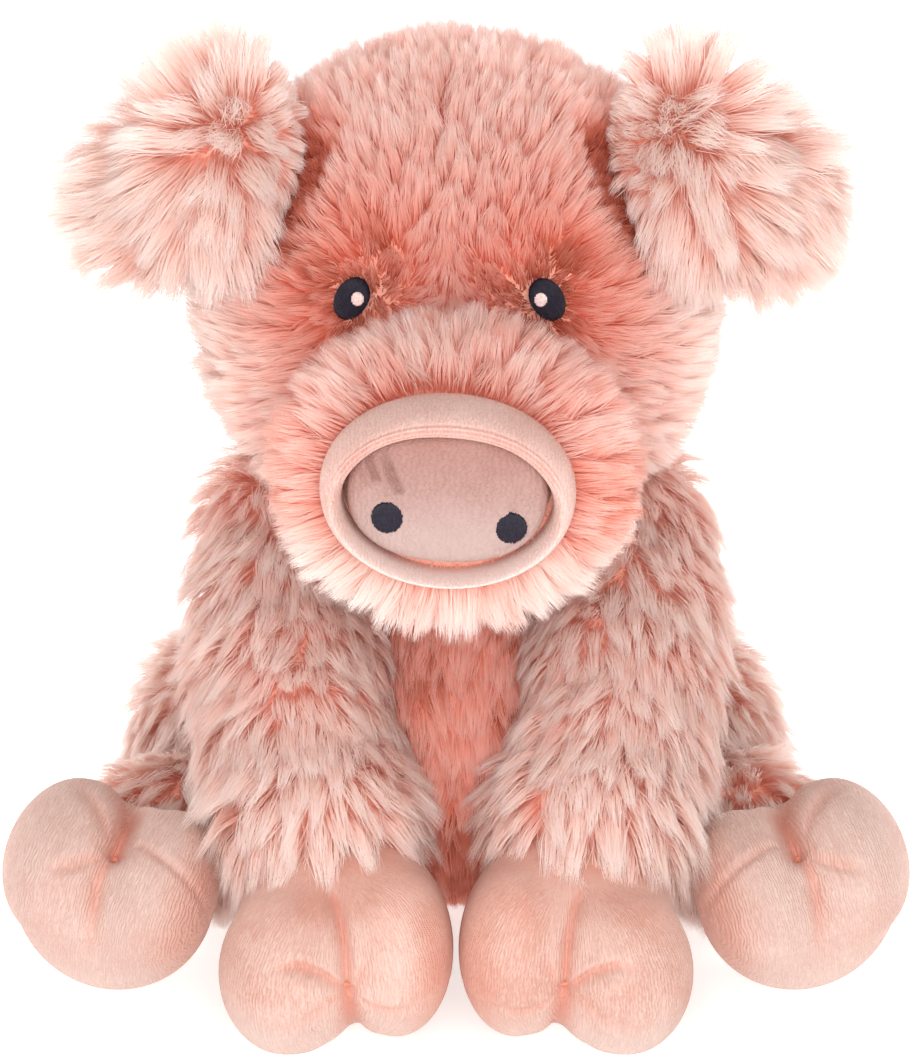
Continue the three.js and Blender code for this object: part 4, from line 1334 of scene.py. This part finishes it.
# %% What else a front and a hind trotter look like
# Of the outer and inner toe: the share of the width from the middle and of its own width, then ahead and down
FRONT_TOES = ((0.212, 0.60, 0.0022, 0.0012), (-0.262, 0.47, -0.0030, -0.0022))
HIND_TOES = ((0.226, 0.55, 0.0, 0.0), (-0.246, 0.51, 0.0, 0.0))
TROTTER_LOOKS = {
    "front": {
        "size": FRONT_TROTTER_SIZE, "tuck": FRONT_TUCK, "creases": FRONT_FOLDS, "toes": FRONT_TOES,
        "pale": 0.05, "hem_shade": 1.0,
    },
    "hind": {
        "size": HIND_TROTTER_SIZE, "tuck": HIND_TUCK, "creases": HIND_FOLDS, "toes": HIND_TOES,
        "pale": 0.4, "hem_shade": 0.0,
    },
}
PINCH_SIZE, PINCH_DEPTH = 0.0019, 0.0013
# Painted shade under the leg's hem and on a trotter's inner side, and painted light over its lowest 20 mm
HEM_SHADE, INNER_SHADE = 0.45, 0.60
PAINTED_BOTTOM_LIGHT_SHARE, PAINTED_BOTTOM_LIGHT_REACH = 0.9, 0.020
# The strokes of the nap are longer one way than the other by this share
NAP_DRAWN = 0.4


def with_toes(form, size, toes):
    """The left trotter as it looks sewn: its outer toe is fuller and reaches further than its inner one."""
    width, length, height = size
    lobes = [form["lobes"][0]]
    for aside, own_width, ahead, down in toes:
        place = (aside * width, -TOE_AHEAD * length - ahead, -TOE_LOWER * height - down)
        own_size = (own_width * width, TOE_SHARES[1] * length, TOE_SHARES[2] * height)
        lobes.append(lobe(form["middle"] + form["turn"] @ place, own_size, form["turn"]))
    return soft_form(lobes, form["blend"], form["middle"], form["turn"])


# %% Sew a trotter
def trotter_nap(end_name, local, width):
    """Places in the cloth: wound round a front trotter's height, and flat across a hind one's sole."""
    if end_name == "hind":
        return local * (1.0, NAP_DRAWN, NAP_DRAWN)
    wound = np.arctan2(local[:, 0], -local[:, 1]) * width / 2
    out = np.hypot(local[:, 0], local[:, 1])
    return np.stack([wound, out * NAP_DRAWN, local[:, 2] * NAP_DRAWN], axis=-1)


def trotter(end_name, side, outward, size, tuck, creases, toes, pale, hem_shade):
    """A trotter with its tuck and creases; outward is the sign of the pig's outer side along X."""
    form = with_toes(forms[f"{end_name}_trotter_left"], size, toes)
    form = form if side == "left" else mirror(form)
    directions, faces = trotter_net
    width, length, height = size
    turn = form["turn"]
    heart = form["middle"] + turn @ np.array([tuck[0] * outward, 0, tuck[1]])
    shot = soft_form(form["lobes"], form["blend"], heart, turn)
    world = rays_of(form, directions)
    places = heart + world * reach(shot, world)[:, None]
    local = (places - form["middle"]) @ turn
    flat = local[:, [0, 2]] * (outward, 1)
    front = ramp(-local[:, 1], 0.0, length * 0.22)
    sink, fold = folded(flat, creases)
    pinch = np.exp(-((np.linalg.norm(flat - tuck, axis=1) / PINCH_SIZE) ** 2))
    sink += PINCH_DEPTH * pinch
    inward = form["middle"] + turn @ np.array([0, 0.1 * length, 0]) - places
    inward = inward / np.linalg.norm(inward, axis=1)[:, None]
    places = places + inward * (sink * front)[:, None]
    places[:, 2] = np.maximum(places[:, 2], 0.0)
    # Painted shade in the creases and the tuck on the front, under the leg's hem and on the inner side
    under_hem = HEM_SHADE * ramp(flat[:, 1], 0.15 * height, 0.5 * height) * hem_shade
    between = INNER_SHADE * ramp(-flat[:, 0], 0.27 * width, 0.5 * width)
    fold = np.maximum(np.maximum(fold, pinch) * front, np.maximum(under_hem, between))
    # Painted light towards the bottom, where the floor glows
    pale = pale + (1 - pale) * PAINTED_BOTTOM_LIGHT_SHARE * ramp(-places[:, 2], -PAINTED_BOTTOM_LIGHT_REACH, -0.001)
    mesh = mesh_of(f"{end_name}_hoof_{side}", places, faces)
    nap = trotter_nap(end_name, local, width)
    node = f"{end_name}_trotter_{side}"
    return velour_piece(mesh, nap, fold, f"{end_name}_leg_{side}", node, pale), turn


toe_seats = {}
for side, sign in (("left", 1), ("right", -1)):
    for end_name, looks in TROTTER_LOOKS.items():
        foot, turn = trotter(end_name, side, sign, **looks)
        tuck_bottom = foot.data.vertices[0].co
        toe_seats[f"{end_name}_{side}"] = (Vector(tuck_bottom), turn)
        print("bottom of the tuck:", end_name, side, [round(part, 4) for part in tuck_bottom])

# %% [markdown]
# ## The snout
#
# The snout is a padded velour ring sewn into the muzzle. Its top is a thick smooth band whose inner lip
# is drawn into fine ribs, with painted shade in their grooves and inside the ring, and its lower edge is
# a thin roll with painted light on it. Inside sits a flat cushion with two worked nostrils and two soft
# folds, with painted shade at its top under the ring and painted light below. Its edge is rolled and
# stands a little off the ring, which leaves a dark gap under it, also painted in shade on the rolled
# edge. A torus would have the same thickness all round, so both are drawn as nets of rows and columns.

# %% Sizes of the snout
RIM_WIDTH, RIM_HEIGHT, RIM_LENGTH = 0.065, 0.049, 0.020
# The rim's thickness at its sides, and how much more it is at the top and less at the bottom
RIM_THICK, RIM_UNLIKE = 0.0058, 0.0027
RIM_FRONT = 0.035
RIM_STEPS, RIM_SIDES = 230, 150
RIB_PITCH, RIB_HEIGHT = 0.0012, 0.00030
PAD_RECESS, PAD_THICKNESS = 0.0030, 0.017
# Angles round the rim's section where the ribs rise to their height and fall to none
LIP_RISE, LIP_FALL = (1.15, 1.4), (2.35, 2.75)


def on_snout(sideways, ahead, above):
    """Places from arrays measured from the snout's own middle."""
    local = np.stack([sideways, -ahead, above], axis=-1)
    return local @ snout_turn.T + SNOUT_PLACE


# %% Rim
def rim():
    # More than half of the rows lie where the ribs are
    rows = np.interp(np.arange(RIM_SIDES + 1) / RIM_SIDES, [0, 0.12, 0.70, 1], [0, 1.05, 2.85, 2 * np.pi])
    around, across = np.meshgrid(np.arange(RIM_STEPS) / RIM_STEPS * 2 * np.pi, rows[:-1], indexing="ij")
    uneven = 1 + 0.04 * np.sin(around * 2 + 0.6) + 0.025 * np.sin(around * 5)
    thick = (RIM_THICK + RIM_UNLIKE * np.sin(around)) * uneven
    girth = np.hypot(RIM_THICK / 2 * np.sin(across), RIM_LENGTH / 2 * np.cos(across)) * np.diff(rows)
    girth = np.cumsum(girth, axis=1)
    lip = ramp(across, *LIP_RISE) * ramp(-across, -LIP_FALL[1], -LIP_FALL[0])
    lip = lip * ramp(np.sin(around), 0.0, 0.5)
    wave = np.cos(girth / RIB_PITCH * 2 * np.pi + 0.35 * np.sin(around * 3))
    ribs = RIB_HEIGHT * wave * lip
    inset = thick / 2 - (thick / 2 + ribs) * np.cos(across)
    x = (RIM_WIDTH / 2 - inset) * np.cos(around)
    z = (RIM_HEIGHT / 2 - inset) * np.sin(around)
    ahead = RIM_FRONT - RIM_LENGTH / 2 + (RIM_LENGTH / 2 + ribs) * np.sin(across)
    places = on_snout(x, ahead, z).reshape(-1, 3)
    mesh = mesh_of("snout_ring", places, net_faces(RIM_STEPS, RIM_SIDES, closed=True))
    nap = np.stack([x, ahead, z], axis=-1).reshape(-1, 3) * 0.8
    # Painted shade on the ring's inside and in the grooves between the ribs, and painted light on the lower
    # roll
    inside = ramp(across, 2.6, 3.2) * ramp(-across, -5.5, -4.5)
    fold = np.maximum(inside * 0.9, lip * (0.5 - 0.5 * wave) * 0.5)
    pale = 0.35 + 0.6 * ramp(-np.sin(around), 0.0, 0.9)
    fold, pale = fold.ravel(), pale.ravel()
    return velour_piece(mesh, nap, fold, "head", "snout_rim", pale, rim_velour_look)


snout_ring = rim()
print("faces of the snout's ring:", len(snout_ring.data.polygons))

# %% The pad's outline, profile and folds
# Half its width, and how far it reaches above and below the snout's middle
PAD_REACH = (0.0268, 0.0178, 0.0198)
PAD_FULLNESS = 2.3
PAD_SPOKES = 220
# The pad's profile from the middle of its face to its edge, then on to its back: share of the reach, and
# how far behind the face
PAD_FACE = [(0, 0), (0.30, 0.0000), (0.55, 0.0002), (0.75, 0.0006), (0.86, 0.0013), (0.92, 0.0024),
            (0.945, 0.0042)]
PAD_BACK = [(0.935, 0.0062), (0.95, 0.0085), (0.99, 0.0105), (1.0, 0.0130), (1.0, PAD_THICKNESS)]
PAD_FOLDS = [
    ([(-0.0213, 0.0120), (-0.0200, 0.0085), (-0.0182, 0.0050)], 0.0020, 0.0007),
    ([(-0.0232, 0.0110), (-0.0220, 0.0075), (-0.0200, 0.0040), (-0.0190, 0.0020)], -0.0012, 0.0010),
    ([(-0.0168, 0.0125), (-0.0148, 0.0070), (-0.0122, 0.0018)], 0.0020, 0.0008),
    ([(-0.0188, 0.0125), (-0.0170, 0.0072), (-0.0145, 0.0020), (-0.0138, 0.0005)], -0.0013, 0.0011),
    ([(0.0225, 0.0050), (0.0190, 0.0030), (0.0165, -0.0020)], 0.0006, 0.0011),
    ([(0.0110, -0.0110), (0.0150, -0.0140), (0.0200, -0.0100)], 0.0006, 0.0009),
]


def pad_reach(angle):
    """Half the pad's size across and up, in a direction round the snout: an oval with fuller corners."""
    across, up = np.cos(angle), np.sin(angle)
    full = (np.abs(across) ** PAD_FULLNESS + np.abs(up) ** PAD_FULLNESS) ** (-1 / PAD_FULLNESS)
    return PAD_REACH[0] * across * full, np.where(up > 0, PAD_REACH[1], PAD_REACH[2]) * up * full


def pad_face(sideways, above):
    """How far ahead the pad's face is at places across and up, without its creases."""
    up = np.where(np.asarray(above) > 0, PAD_REACH[1], PAD_REACH[2])
    off = np.hypot(np.asarray(sideways) / PAD_REACH[0], np.asarray(above) / up)
    shares, backs = zip(*PAD_FACE)
    return RIM_FRONT - PAD_RECESS - np.interp(off, shares, backs)


# %% Pad
def pad_faces(rows):
    """The pad's net: rows of spokes between a middle corner in front and one behind."""
    first_row = [1 + spoke for spoke in range(PAD_SPOKES)]
    last_row = [one + (rows - 1) * PAD_SPOKES for one in first_row]
    last = 1 + rows * PAD_SPOKES
    faces = [(0, after, one) for one, after in zip(first_row, first_row[1:] + first_row[:1])]
    faces.extend(tuple(1 + corner for corner in face) for face in net_faces(rows, PAD_SPOKES))
    faces.extend((one, after, last) for one, after in zip(last_row, last_row[1:] + last_row[:1]))
    return faces


def pad():
    profile = smooth_line(PAD_FACE + PAD_BACK, 9)
    angle = np.arange(PAD_SPOKES) / PAD_SPOKES * 2 * np.pi
    across, up = pad_reach(angle)
    share, back = profile[1:, 0][:, None], profile[1:, 1][:, None]
    sideways = np.concatenate([[0], (share * across).ravel(), [0]])
    above = np.concatenate([[0], (share * up).ravel(), [0]])
    behind = np.concatenate([[0], (back + 0 * angle).ravel(), [PAD_THICKNESS]])
    flat = np.stack([sideways, above], axis=1)
    sink, fold = folded(flat, PAD_FOLDS)
    ahead = RIM_FRONT - PAD_RECESS - behind - sink * (behind < 0.006)
    mesh = mesh_of("snout_cushion", on_snout(sideways, ahead, above), pad_faces(len(profile) - 1))
    # Painted shade in the folds, on the rolled edge and across the top under the ring, and painted light
    # lower down
    fold = np.maximum(fold * 0.55, ramp(behind, 0.0012, 0.004))
    fold = np.maximum(fold, 0.35 * ramp(above, 0.0, 0.016))
    pale = 0.25 + 0.65 * ramp(-above, -0.006, 0.014)
    nap = np.stack([sideways * 0.5, ahead, above], axis=-1)
    return velour_piece(mesh, nap, fold, "head", "snout_pad", pale, snout_velour_look)


snout_cushion = pad()
print("faces of the snout's pad:", len(snout_cushion.data.polygons))

# %% [markdown]
# ## The tail
#
# Behind the seat is a short cord of velour that curls once. It is a stuffed tube whose seam is pulled
# tight on the inside of the curl, so the cloth gathers into wrinkles there. A curve with a bevel would
# make the tube, but not the wrinkles on one side of it, so its rings are placed one by one along the
# curl.

# %% The curl
TAIL_ROOT_PLACE = np.array([0.0, 0.0568, 0.046])
TAIL_CURL, TAIL_OUT, TAIL_LENGTH, TAIL_TURNS = 0.011, 0.008, 0.020, 1.25
TAIL_THICK, TAIL_ROOT_THICK = 0.009, 0.013
TAIL_STATIONS, TAIL_SIDES = 190, 40
WRINKLE_PITCH, WRINKLE_DEPTH = 0.0021, 0.07
TAIL_SEAM_WIDTH, TAIL_SEAM_DEPTH = 0.16, 0.10


def tail_line():
    """The curl's line with a stretch added at each end, the length along it, and where its tip is."""
    share = np.linspace(0, 1, 13)[1:]
    angle = share * TAIL_TURNS * 2 * np.pi
    outward = TAIL_OUT + TAIL_LENGTH * share
    curl = np.stack([TAIL_CURL * np.sin(angle), outward, TAIL_CURL * (1 - np.cos(angle))], axis=1)
    path = smooth_line(np.vstack([np.zeros(3), curl]) + TAIL_ROOT_PLACE, 10)
    run = np.concatenate([[0], np.cumsum(np.linalg.norm(np.diff(path, axis=0), axis=1))])
    print("length of the tail's curl:", run[-1])
    tip = run[-1] + TAIL_THICK / 2
    before = path[0] + unit(path[0] - path[1]) * TAIL_ROOT_THICK
    after = path[-1] + unit(path[-1] - path[-2]) * TAIL_THICK
    run = np.concatenate([[-TAIL_ROOT_THICK], run, [run[-1] + TAIL_THICK]])
    return np.vstack([before, path, after]), run, tip


# %% Stuff the tail
def tail():
    path, run, tip = tail_line()
    lengths = np.linspace(-TAIL_ROOT_THICK / 2, tip, TAIL_STATIONS)[1:-1]
    middles = np.stack([np.interp(lengths, run, path[:, axis]) for axis in range(3)], axis=1)
    ahead = np.gradient(middles, axis=0)
    ahead = ahead / np.linalg.norm(ahead, axis=1)[:, None]
    heart = TAIL_ROOT_PLACE + (0, 0, TAIL_CURL)
    inward = tangent((heart - middles) * (1, 0, 1), ahead)
    third = np.cross(ahead, inward)
    thick = TAIL_THICK + (TAIL_ROOT_THICK - TAIL_THICK) * ramp(-lengths, -0.010, 0.002)
    to_tip = (tip - lengths) / (TAIL_THICK / 2)
    from_root = (lengths + TAIL_ROOT_THICK / 2) / (TAIL_ROOT_THICK / 2)
    ends = np.minimum(np.minimum(to_tip, from_root), 1)
    radius = thick / 2 * np.sqrt(1 - (1 - ends) ** 2)
    turn = np.arange(TAIL_SIDES) / TAIL_SIDES * 2 * np.pi
    inner = np.clip(np.cos(turn), 0, 1)[None, :]
    wrinkle = np.sin(lengths / WRINKLE_PITCH * 2 * np.pi + 1.3 * np.sin(lengths * 900))[:, None]
    seam = np.exp(-((turn - np.pi * (turn > np.pi) * 2) / TAIL_SEAM_WIDTH) ** 2)[None, :]
    shape = radius[:, None] * (1 + WRINKLE_DEPTH * inner * wrinkle - TAIL_SEAM_DEPTH * seam)
    places = middles[:, None] + shape[..., None] * (
        np.cos(turn)[None, :, None] * inward[:, None] + np.sin(turn)[None, :, None] * third[:, None]
    )
    rows = len(lengths)
    faces = net_faces(rows, TAIL_SIDES)
    first, last = rows * TAIL_SIDES, rows * TAIL_SIDES + 1
    for side_number in range(TAIL_SIDES):
        after = (side_number + 1) % TAIL_SIDES
        faces.append((side_number, first, after))
        faces.append(((rows - 1) * TAIL_SIDES + side_number, (rows - 1) * TAIL_SIDES + after, last))
    end_places = [middles[0] - ahead[0] * radius[0] * 0.3, middles[-1] + ahead[-1] * radius[-1] * 0.3]
    places = np.vstack([places.reshape(-1, 3), end_places])
    # Painted shade in the seam's groove and between the wrinkles on the inside of the curl
    fold = np.clip(seam + 0.4 * inner * (1 - wrinkle) / 2, 0, 1) + 0 * shape
    fold = np.concatenate([fold.ravel(), [0, 0]])
    return velour_piece(mesh_of("curly_tail", places, faces), places * 0.8, fold, "tail", "tail")


curly_tail = tail()
print("faces of the tail:", len(curly_tail.data.polygons))

# %% [markdown]
# ## Worked threads
#
# The eyes, their pale spots and the nostrils are satin stitch: threads laid side by side over a small
# pad, each as long as the oval is there. Three such threads also hold each trotter's tuck. One node tree
# lays them all: a row of points across the oval, a thread at each, and its length and rise from where it
# is in the row.

# %% One thread
THREAD_STATIONS, THREAD_SIDES, THREAD_THICK = 9, 6, 0.10


def thread_mesh():
    """A thread over a half circle in Y and Z, of width one along X, closed at both ends."""
    corners = []
    for station in range(THREAD_STATIONS):
        along = math.pi * (station + 0.5) / THREAD_STATIONS
        for side_number in range(THREAD_SIDES):
            turn = 2 * math.pi * side_number / THREAD_SIDES
            out = 1 + math.sin(turn) * THREAD_THICK / 2
            corners.append((math.cos(turn) / 2, math.cos(along) * out, math.sin(along) * out))
    faces = net_faces(THREAD_STATIONS, THREAD_SIDES)
    faces.append(tuple(range(THREAD_SIDES - 1, -1, -1)))
    faces.append(tuple(range(len(corners) - THREAD_SIDES, len(corners))))
    return mesh_of("thread", corners, faces)


thread = bpy.data.objects.new("thread", thread_mesh())
print("faces of one thread:", len(thread.data.polygons))

# %% The tree that lays a row of threads
SHORTEST_CHORD = 0.03
# Threads are this much wider than their pitch, so that no gap shows
THREAD_OVERLAP = 1.25
STITCH_INPUTS = {
    "Thread": "Object", "Threads": "Int", "Half Width": "Float", "Half Length": "Float", "Rise": "Float",
    "Ragged": "Float", "Material": "Material",
}
stitch_tree, stitch_ids, given = new_tree("satin_stitch", STITCH_INPUTS)
whole_width = maths(stitch_tree, "MULTIPLY", given["Half Width"], 2.0)
pitch = maths(stitch_tree, "DIVIDE", whole_width, given["Threads"])
first_place = maths(stitch_tree, "SUBTRACT", maths(stitch_tree, "MULTIPLY", pitch, 0.5), given["Half Width"])
row = add_node(stitch_tree, "GeometryNodeMeshLine", {
    "Count": given["Threads"],
    "Start Location": result(add_node(stitch_tree, "ShaderNodeCombineXYZ", {"X": first_place})),
    "Offset": result(add_node(stitch_tree, "ShaderNodeCombineXYZ", {"X": pitch})),
}, mode="OFFSET")
place = add_node(stitch_tree, "GeometryNodeInputPosition").outputs[0]
aside = add_node(stitch_tree, "ShaderNodeSeparateXYZ", {0: place}).outputs[0]
aside = maths(stitch_tree, "DIVIDE", aside, given["Half Width"])
chord = maths(stitch_tree, "SUBTRACT", 1.0, maths(stitch_tree, "MULTIPLY", aside, aside))
chord = maths(stitch_tree, "SQRT", maths(stitch_tree, "MAXIMUM", chord, SHORTEST_CHORD))
ragged = random_number(stitch_tree, -1.0, 1.0, seed=5)
ragged = maths(stitch_tree, "MULTIPLY_ADD", ragged, given["Ragged"], 1.0)
ragged_chord = maths(stitch_tree, "MULTIPLY", chord, ragged)
rise = maths(stitch_tree, "MULTIPLY", chord, given["Rise"])
stitch_size = add_node(stitch_tree, "ShaderNodeCombineXYZ", {
    "X": maths(stitch_tree, "MULTIPLY", pitch, THREAD_OVERLAP),
    "Y": maths(stitch_tree, "MULTIPLY", ragged_chord, given["Half Length"]),
    "Z": maths(stitch_tree, "MULTIPLY", rise, random_number(stitch_tree, 0.94, 1.06, seed=9)),
})
one_thread = add_node(stitch_tree, "GeometryNodeObjectInfo", {"Object": given["Thread"]})
laid_threads = add_node(stitch_tree, "GeometryNodeInstanceOnPoints", {
    "Points": result(row), "Instance": result(one_thread, "Geometry"), "Scale": result(stitch_size),
})
laid_threads = add_node(stitch_tree, "GeometryNodeRealizeInstances", {"Geometry": result(laid_threads)})
joined = add_node(stitch_tree, "GeometryNodeJoinGeometry")
stitch_tree.links.new(result(laid_threads), joined.inputs[0])
stitch_tree.links.new(given["Geometry"], joined.inputs[0])
finished = add_node(stitch_tree, "GeometryNodeSetMaterial", {
    "Geometry": result(joined), "Material": given["Material"],
})
add_node(stitch_tree, "NodeGroupOutput", {"Geometry": result(finished)})
print("stitch tree:", len(stitch_tree.nodes), "nodes")

# %% Work a patch of satin stitch
PADDING_NET = sphere_net(detail=4)
PADDING_SHARES = (0.95, 0.95, 0.93)


def worked(name, place, axes, half, count, ragged, look, body, node, under=1.0):
    """Satin stitch over a small pad: half is its half width, half length and rise; under deepens its foot."""
    corners, faces = PADDING_NET
    places = corners * half * PADDING_SHARES
    places[:, 2] = np.where(corners[:, 2] < 0, places[:, 2] * under, places[:, 2])
    piece = piece_of(name, mesh_of(name, places, faces))
    mesh = grown(piece, stitch_tree, stitch_ids, {
        "Thread": thread, "Threads": count, "Half Width": half[0], "Half Length": half[1], "Rise": half[2],
        "Ragged": ragged, "Material": look,
    })
    where = np.eye(4)
    where[:3, :3] = axes
    where[:3, 3] = place
    mesh.transform(Matrix(where.tolist()))
    mesh.name = name
    piece.data = mesh
    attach(piece, body)
    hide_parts(node)
    return piece


def facing_axes(outward, lean):
    """Axes whose third points outward and whose second points up, leaning by an angle in degrees."""
    outward = unit(np.array(outward))
    up = tangent(np.array([[0.0, 0.0, 1.0]]), outward[None])[0]
    aside = np.cross(up, outward)
    angle = math.radians(lean)
    leaning_up = up * math.cos(angle) + aside * math.sin(angle)
    leaning_aside = aside * math.cos(angle) - up * math.sin(angle)
    return np.stack([leaning_aside, leaning_up, outward], axis=1)


# %% Where the stitches go
# Half width, half length and rise of each patch, in metres
EYE_HALF = np.array([0.0045, 0.0060, 0.0019])
GLINT_HALF = np.array([0.0016, 0.0018, 0.0004])
NOSTRIL_HALF = np.array([0.0040, 0.0042, 0.0008])
TUCK_STITCH_HALF = np.array([0.0006, 0.0019, 0.0006])
EYE_LEAN, NOSTRIL_LEAN = 34, 8
GLINT_INWARD, GLINT_ABOVE, GLINT_STAND = 0.0019, 0.0014, 0.00008
NOSTRILS = {"left": (0.0164, -0.0070), "right": (-0.0149, -0.0058)}
TUCK_STITCH_STAND = 0.0004


def work_eye(side, sign):
    """An eye of dark thread, and the pale spot that lies on its upper inner slope."""
    seat, outward = eye_seats[side]
    axes = facing_axes(outward, -EYE_LEAN * sign)
    worked(f"worked_eye_{side}", seat, axes, EYE_HALF, count=30, ragged=0.03, look=dark_thread_look,
           body="head", node=f"eye_{side}", under=2.4)
    inward, above = GLINT_INWARD * -sign, GLINT_ABOVE
    off = 1 - (inward / EYE_HALF[0]) ** 2 - (above / EYE_HALF[1]) ** 2
    glint_out = EYE_HALF[2] * math.sqrt(off)
    slope = np.array([inward / EYE_HALF[0] ** 2, above / EYE_HALF[1] ** 2, glint_out / EYE_HALF[2] ** 2])
    place = seat + axes @ (inward, above, glint_out + GLINT_STAND)
    worked(f"worked_glint_{side}", place, facing_axes(axes @ slope, 0), GLINT_HALF, count=9, ragged=0.05,
           look=pale_thread_look, body="head", node=f"eye_glint_{side}")


def work_nostril(side, sign):
    aside, above = NOSTRILS[side]
    place = on_snout(np.array(aside), pad_face(aside, above), np.array(above))
    axes = facing_axes(snout_ahead, NOSTRIL_LEAN * sign)
    worked(f"worked_nostril_{side}", place, axes, NOSTRIL_HALF, count=22, ragged=0.07, look=dark_thread_look,
           body="head", node=f"nostril_{side}", under=2.0)


def work_tuck(end_name, side):
    """Three threads across the bottom of a trotter's tuck."""
    bottom, turn = toe_seats[f"{end_name}_{side}"]
    place = np.array(bottom) - turn[:, 1] * TUCK_STITCH_STAND
    axes = np.stack([turn[:, 2], -turn[:, 0], -turn[:, 1]], axis=1)
    worked(f"{end_name}_tuck_stitch_{side}", place, axes, TUCK_STITCH_HALF, count=3, ragged=0.15,
           look=toe_thread_look, body=f"{end_name}_leg_{side}",
           node=f"{end_name}_toe_thread_{side}")


# %% Work the face and the tucks
for side, sign in (("left", 1), ("right", -1)):
    work_eye(side, sign)
    work_nostril(side, sign)
    for end_name in ("front", "hind"):
        work_tuck(end_name, side)
worked_names = [one.name for one in bpy.data.objects if "worked" in one.name or "stitch" in one.name]
print("worked pieces:", len(worked_names))

# %% [markdown]
# ## Floor, light and camera
#
# The photograph was taken in a white studio: light comes from all round, more of it from the horizon
# than from overhead, so the face, the snout and the trotters are bright and the creases stay open. A
# pale floor that glows a little, a white surround that is dimmer overhead and at the sides, four soft
# lamps and a narrow beam between the arms give that. The camera stands where the photograph's
# perspective says.

# %% Floor
FLOOR_RADIUS = 6.0
FLOOR_GLOW = 0.60


def floor():
    whole = bmesh.new()
    bmesh.ops.create_circle(whole, cap_ends=True, segments=96, radius=FLOOR_RADIUS)
    mesh = bpy.data.meshes.new("floor")
    whole.to_mesh(mesh)
    whole.free()
    material, tree, shader = new_material("pale_floor", 0.8)
    shader.inputs["Base Color"].default_value = (0.88, 0.88, 0.88, 1)
    shader.inputs["Emission Color"].default_value = (1.0, 0.985, 0.975, 1)
    shader.inputs["Emission Strength"].default_value = FLOOR_GLOW
    mesh.materials.append(material)
    return piece_of("floor", mesh)


floor()
print("radius of the floor in metres:", FLOOR_RADIUS)

# %% Surround
HORIZON, OVERHEAD = (1.06, 1.05, 1.045), (0.50, 0.497, 0.493)
SIDE_DIMMING = 0.45
world = bpy.data.worlds.new("studio")
bpy.context.scene.world = world
world.use_nodes = True
sky = world.node_tree
direction = add_node(sky, "ShaderNodeTexCoord").outputs["Generated"]
upward = add_node(sky, "ShaderNodeSeparateXYZ", {0: direction})
shade = colour_ramp(sky, upward.outputs["Z"], [(0.15, HORIZON), (0.9, OVERHEAD)])
sideways = maths(sky, "MULTIPLY", upward.outputs["X"], upward.outputs["X"])
strength = maths(sky, "MULTIPLY_ADD", sideways, -SIDE_DIMMING, 1.0)
sky.links.new(shade, sky.nodes["Background"].inputs["Color"])
sky.links.new(strength, sky.nodes["Background"].inputs["Strength"])
print("nodes of the surround:", len(sky.nodes))


# %% Lamps
def aimed(name, data, place, along):
    """A lamp or camera at a place, looking along a direction."""
    made = bpy.data.objects.new(name, data)
    made.location = place
    made.rotation_mode = "QUATERNION"
    made.rotation_quaternion = along.to_track_quat("-Z", "Y")
    bpy.context.scene.collection.objects.link(made)
    return made


def softbox(name, place, aim, size, power):
    light = bpy.data.lights.new(name, "AREA")
    light.size = size
    light.energy = power
    aimed(name, light, place, Vector(aim) - Vector(place))


softbox("front", place=(0.0, -1.6, 0.75), aim=(0, 0, 0.12), size=0.8, power=12)
softbox("low_front", place=(0.0, -1.4, 0.10), aim=(0, 0, 0.09), size=0.5, power=5)
softbox("left_edge", place=(-0.9, 0.8, 0.5), aim=(0, 0, 0.12), size=0.7, power=10)
softbox("right_edge", place=(0.9, 0.8, 0.5), aim=(0, 0, 0.12), size=0.7, power=10)

BEAM_PLACE = Vector((0.0, -1.3, 0.38))
BEAM_AIM = Vector((0, -0.05, 0.062))
beam = bpy.data.lights.new("between_the_arms", "SPOT")
beam.energy = 45
beam.spot_size = math.radians(5.5)
beam.spot_blend = 1.0
beam.shadow_soft_size = 0.05
aimed("between_the_arms", beam, BEAM_PLACE, BEAM_AIM - BEAM_PLACE)
print("lamps:", [light.name for light in bpy.data.lights])

# %% Camera
CAMERA_TARGET = Vector((0, -0.040, 0.119))
CAMERA_DISTANCE = 1.25
CAMERA_RISE = math.radians(13)
# The larger side of the photograph is this long on the toy, and the sensor is this wide in millimetres
PHOTO_SIDE_SEEN = 0.2904
SENSOR = 36.0
back = Vector((0, -math.cos(CAMERA_RISE), math.sin(CAMERA_RISE)))
camera = aimed("camera", bpy.data.cameras.new("camera"), CAMERA_TARGET + back * CAMERA_DISTANCE, -back)
camera.data.sensor_width = SENSOR
camera.data.lens = SENSOR * CAMERA_DISTANCE / PHOTO_SIDE_SEEN
bpy.context.scene.camera = camera
bpy.context.scene.view_settings.view_transform = "Standard"
print("lens in millimetres:", camera.data.lens)
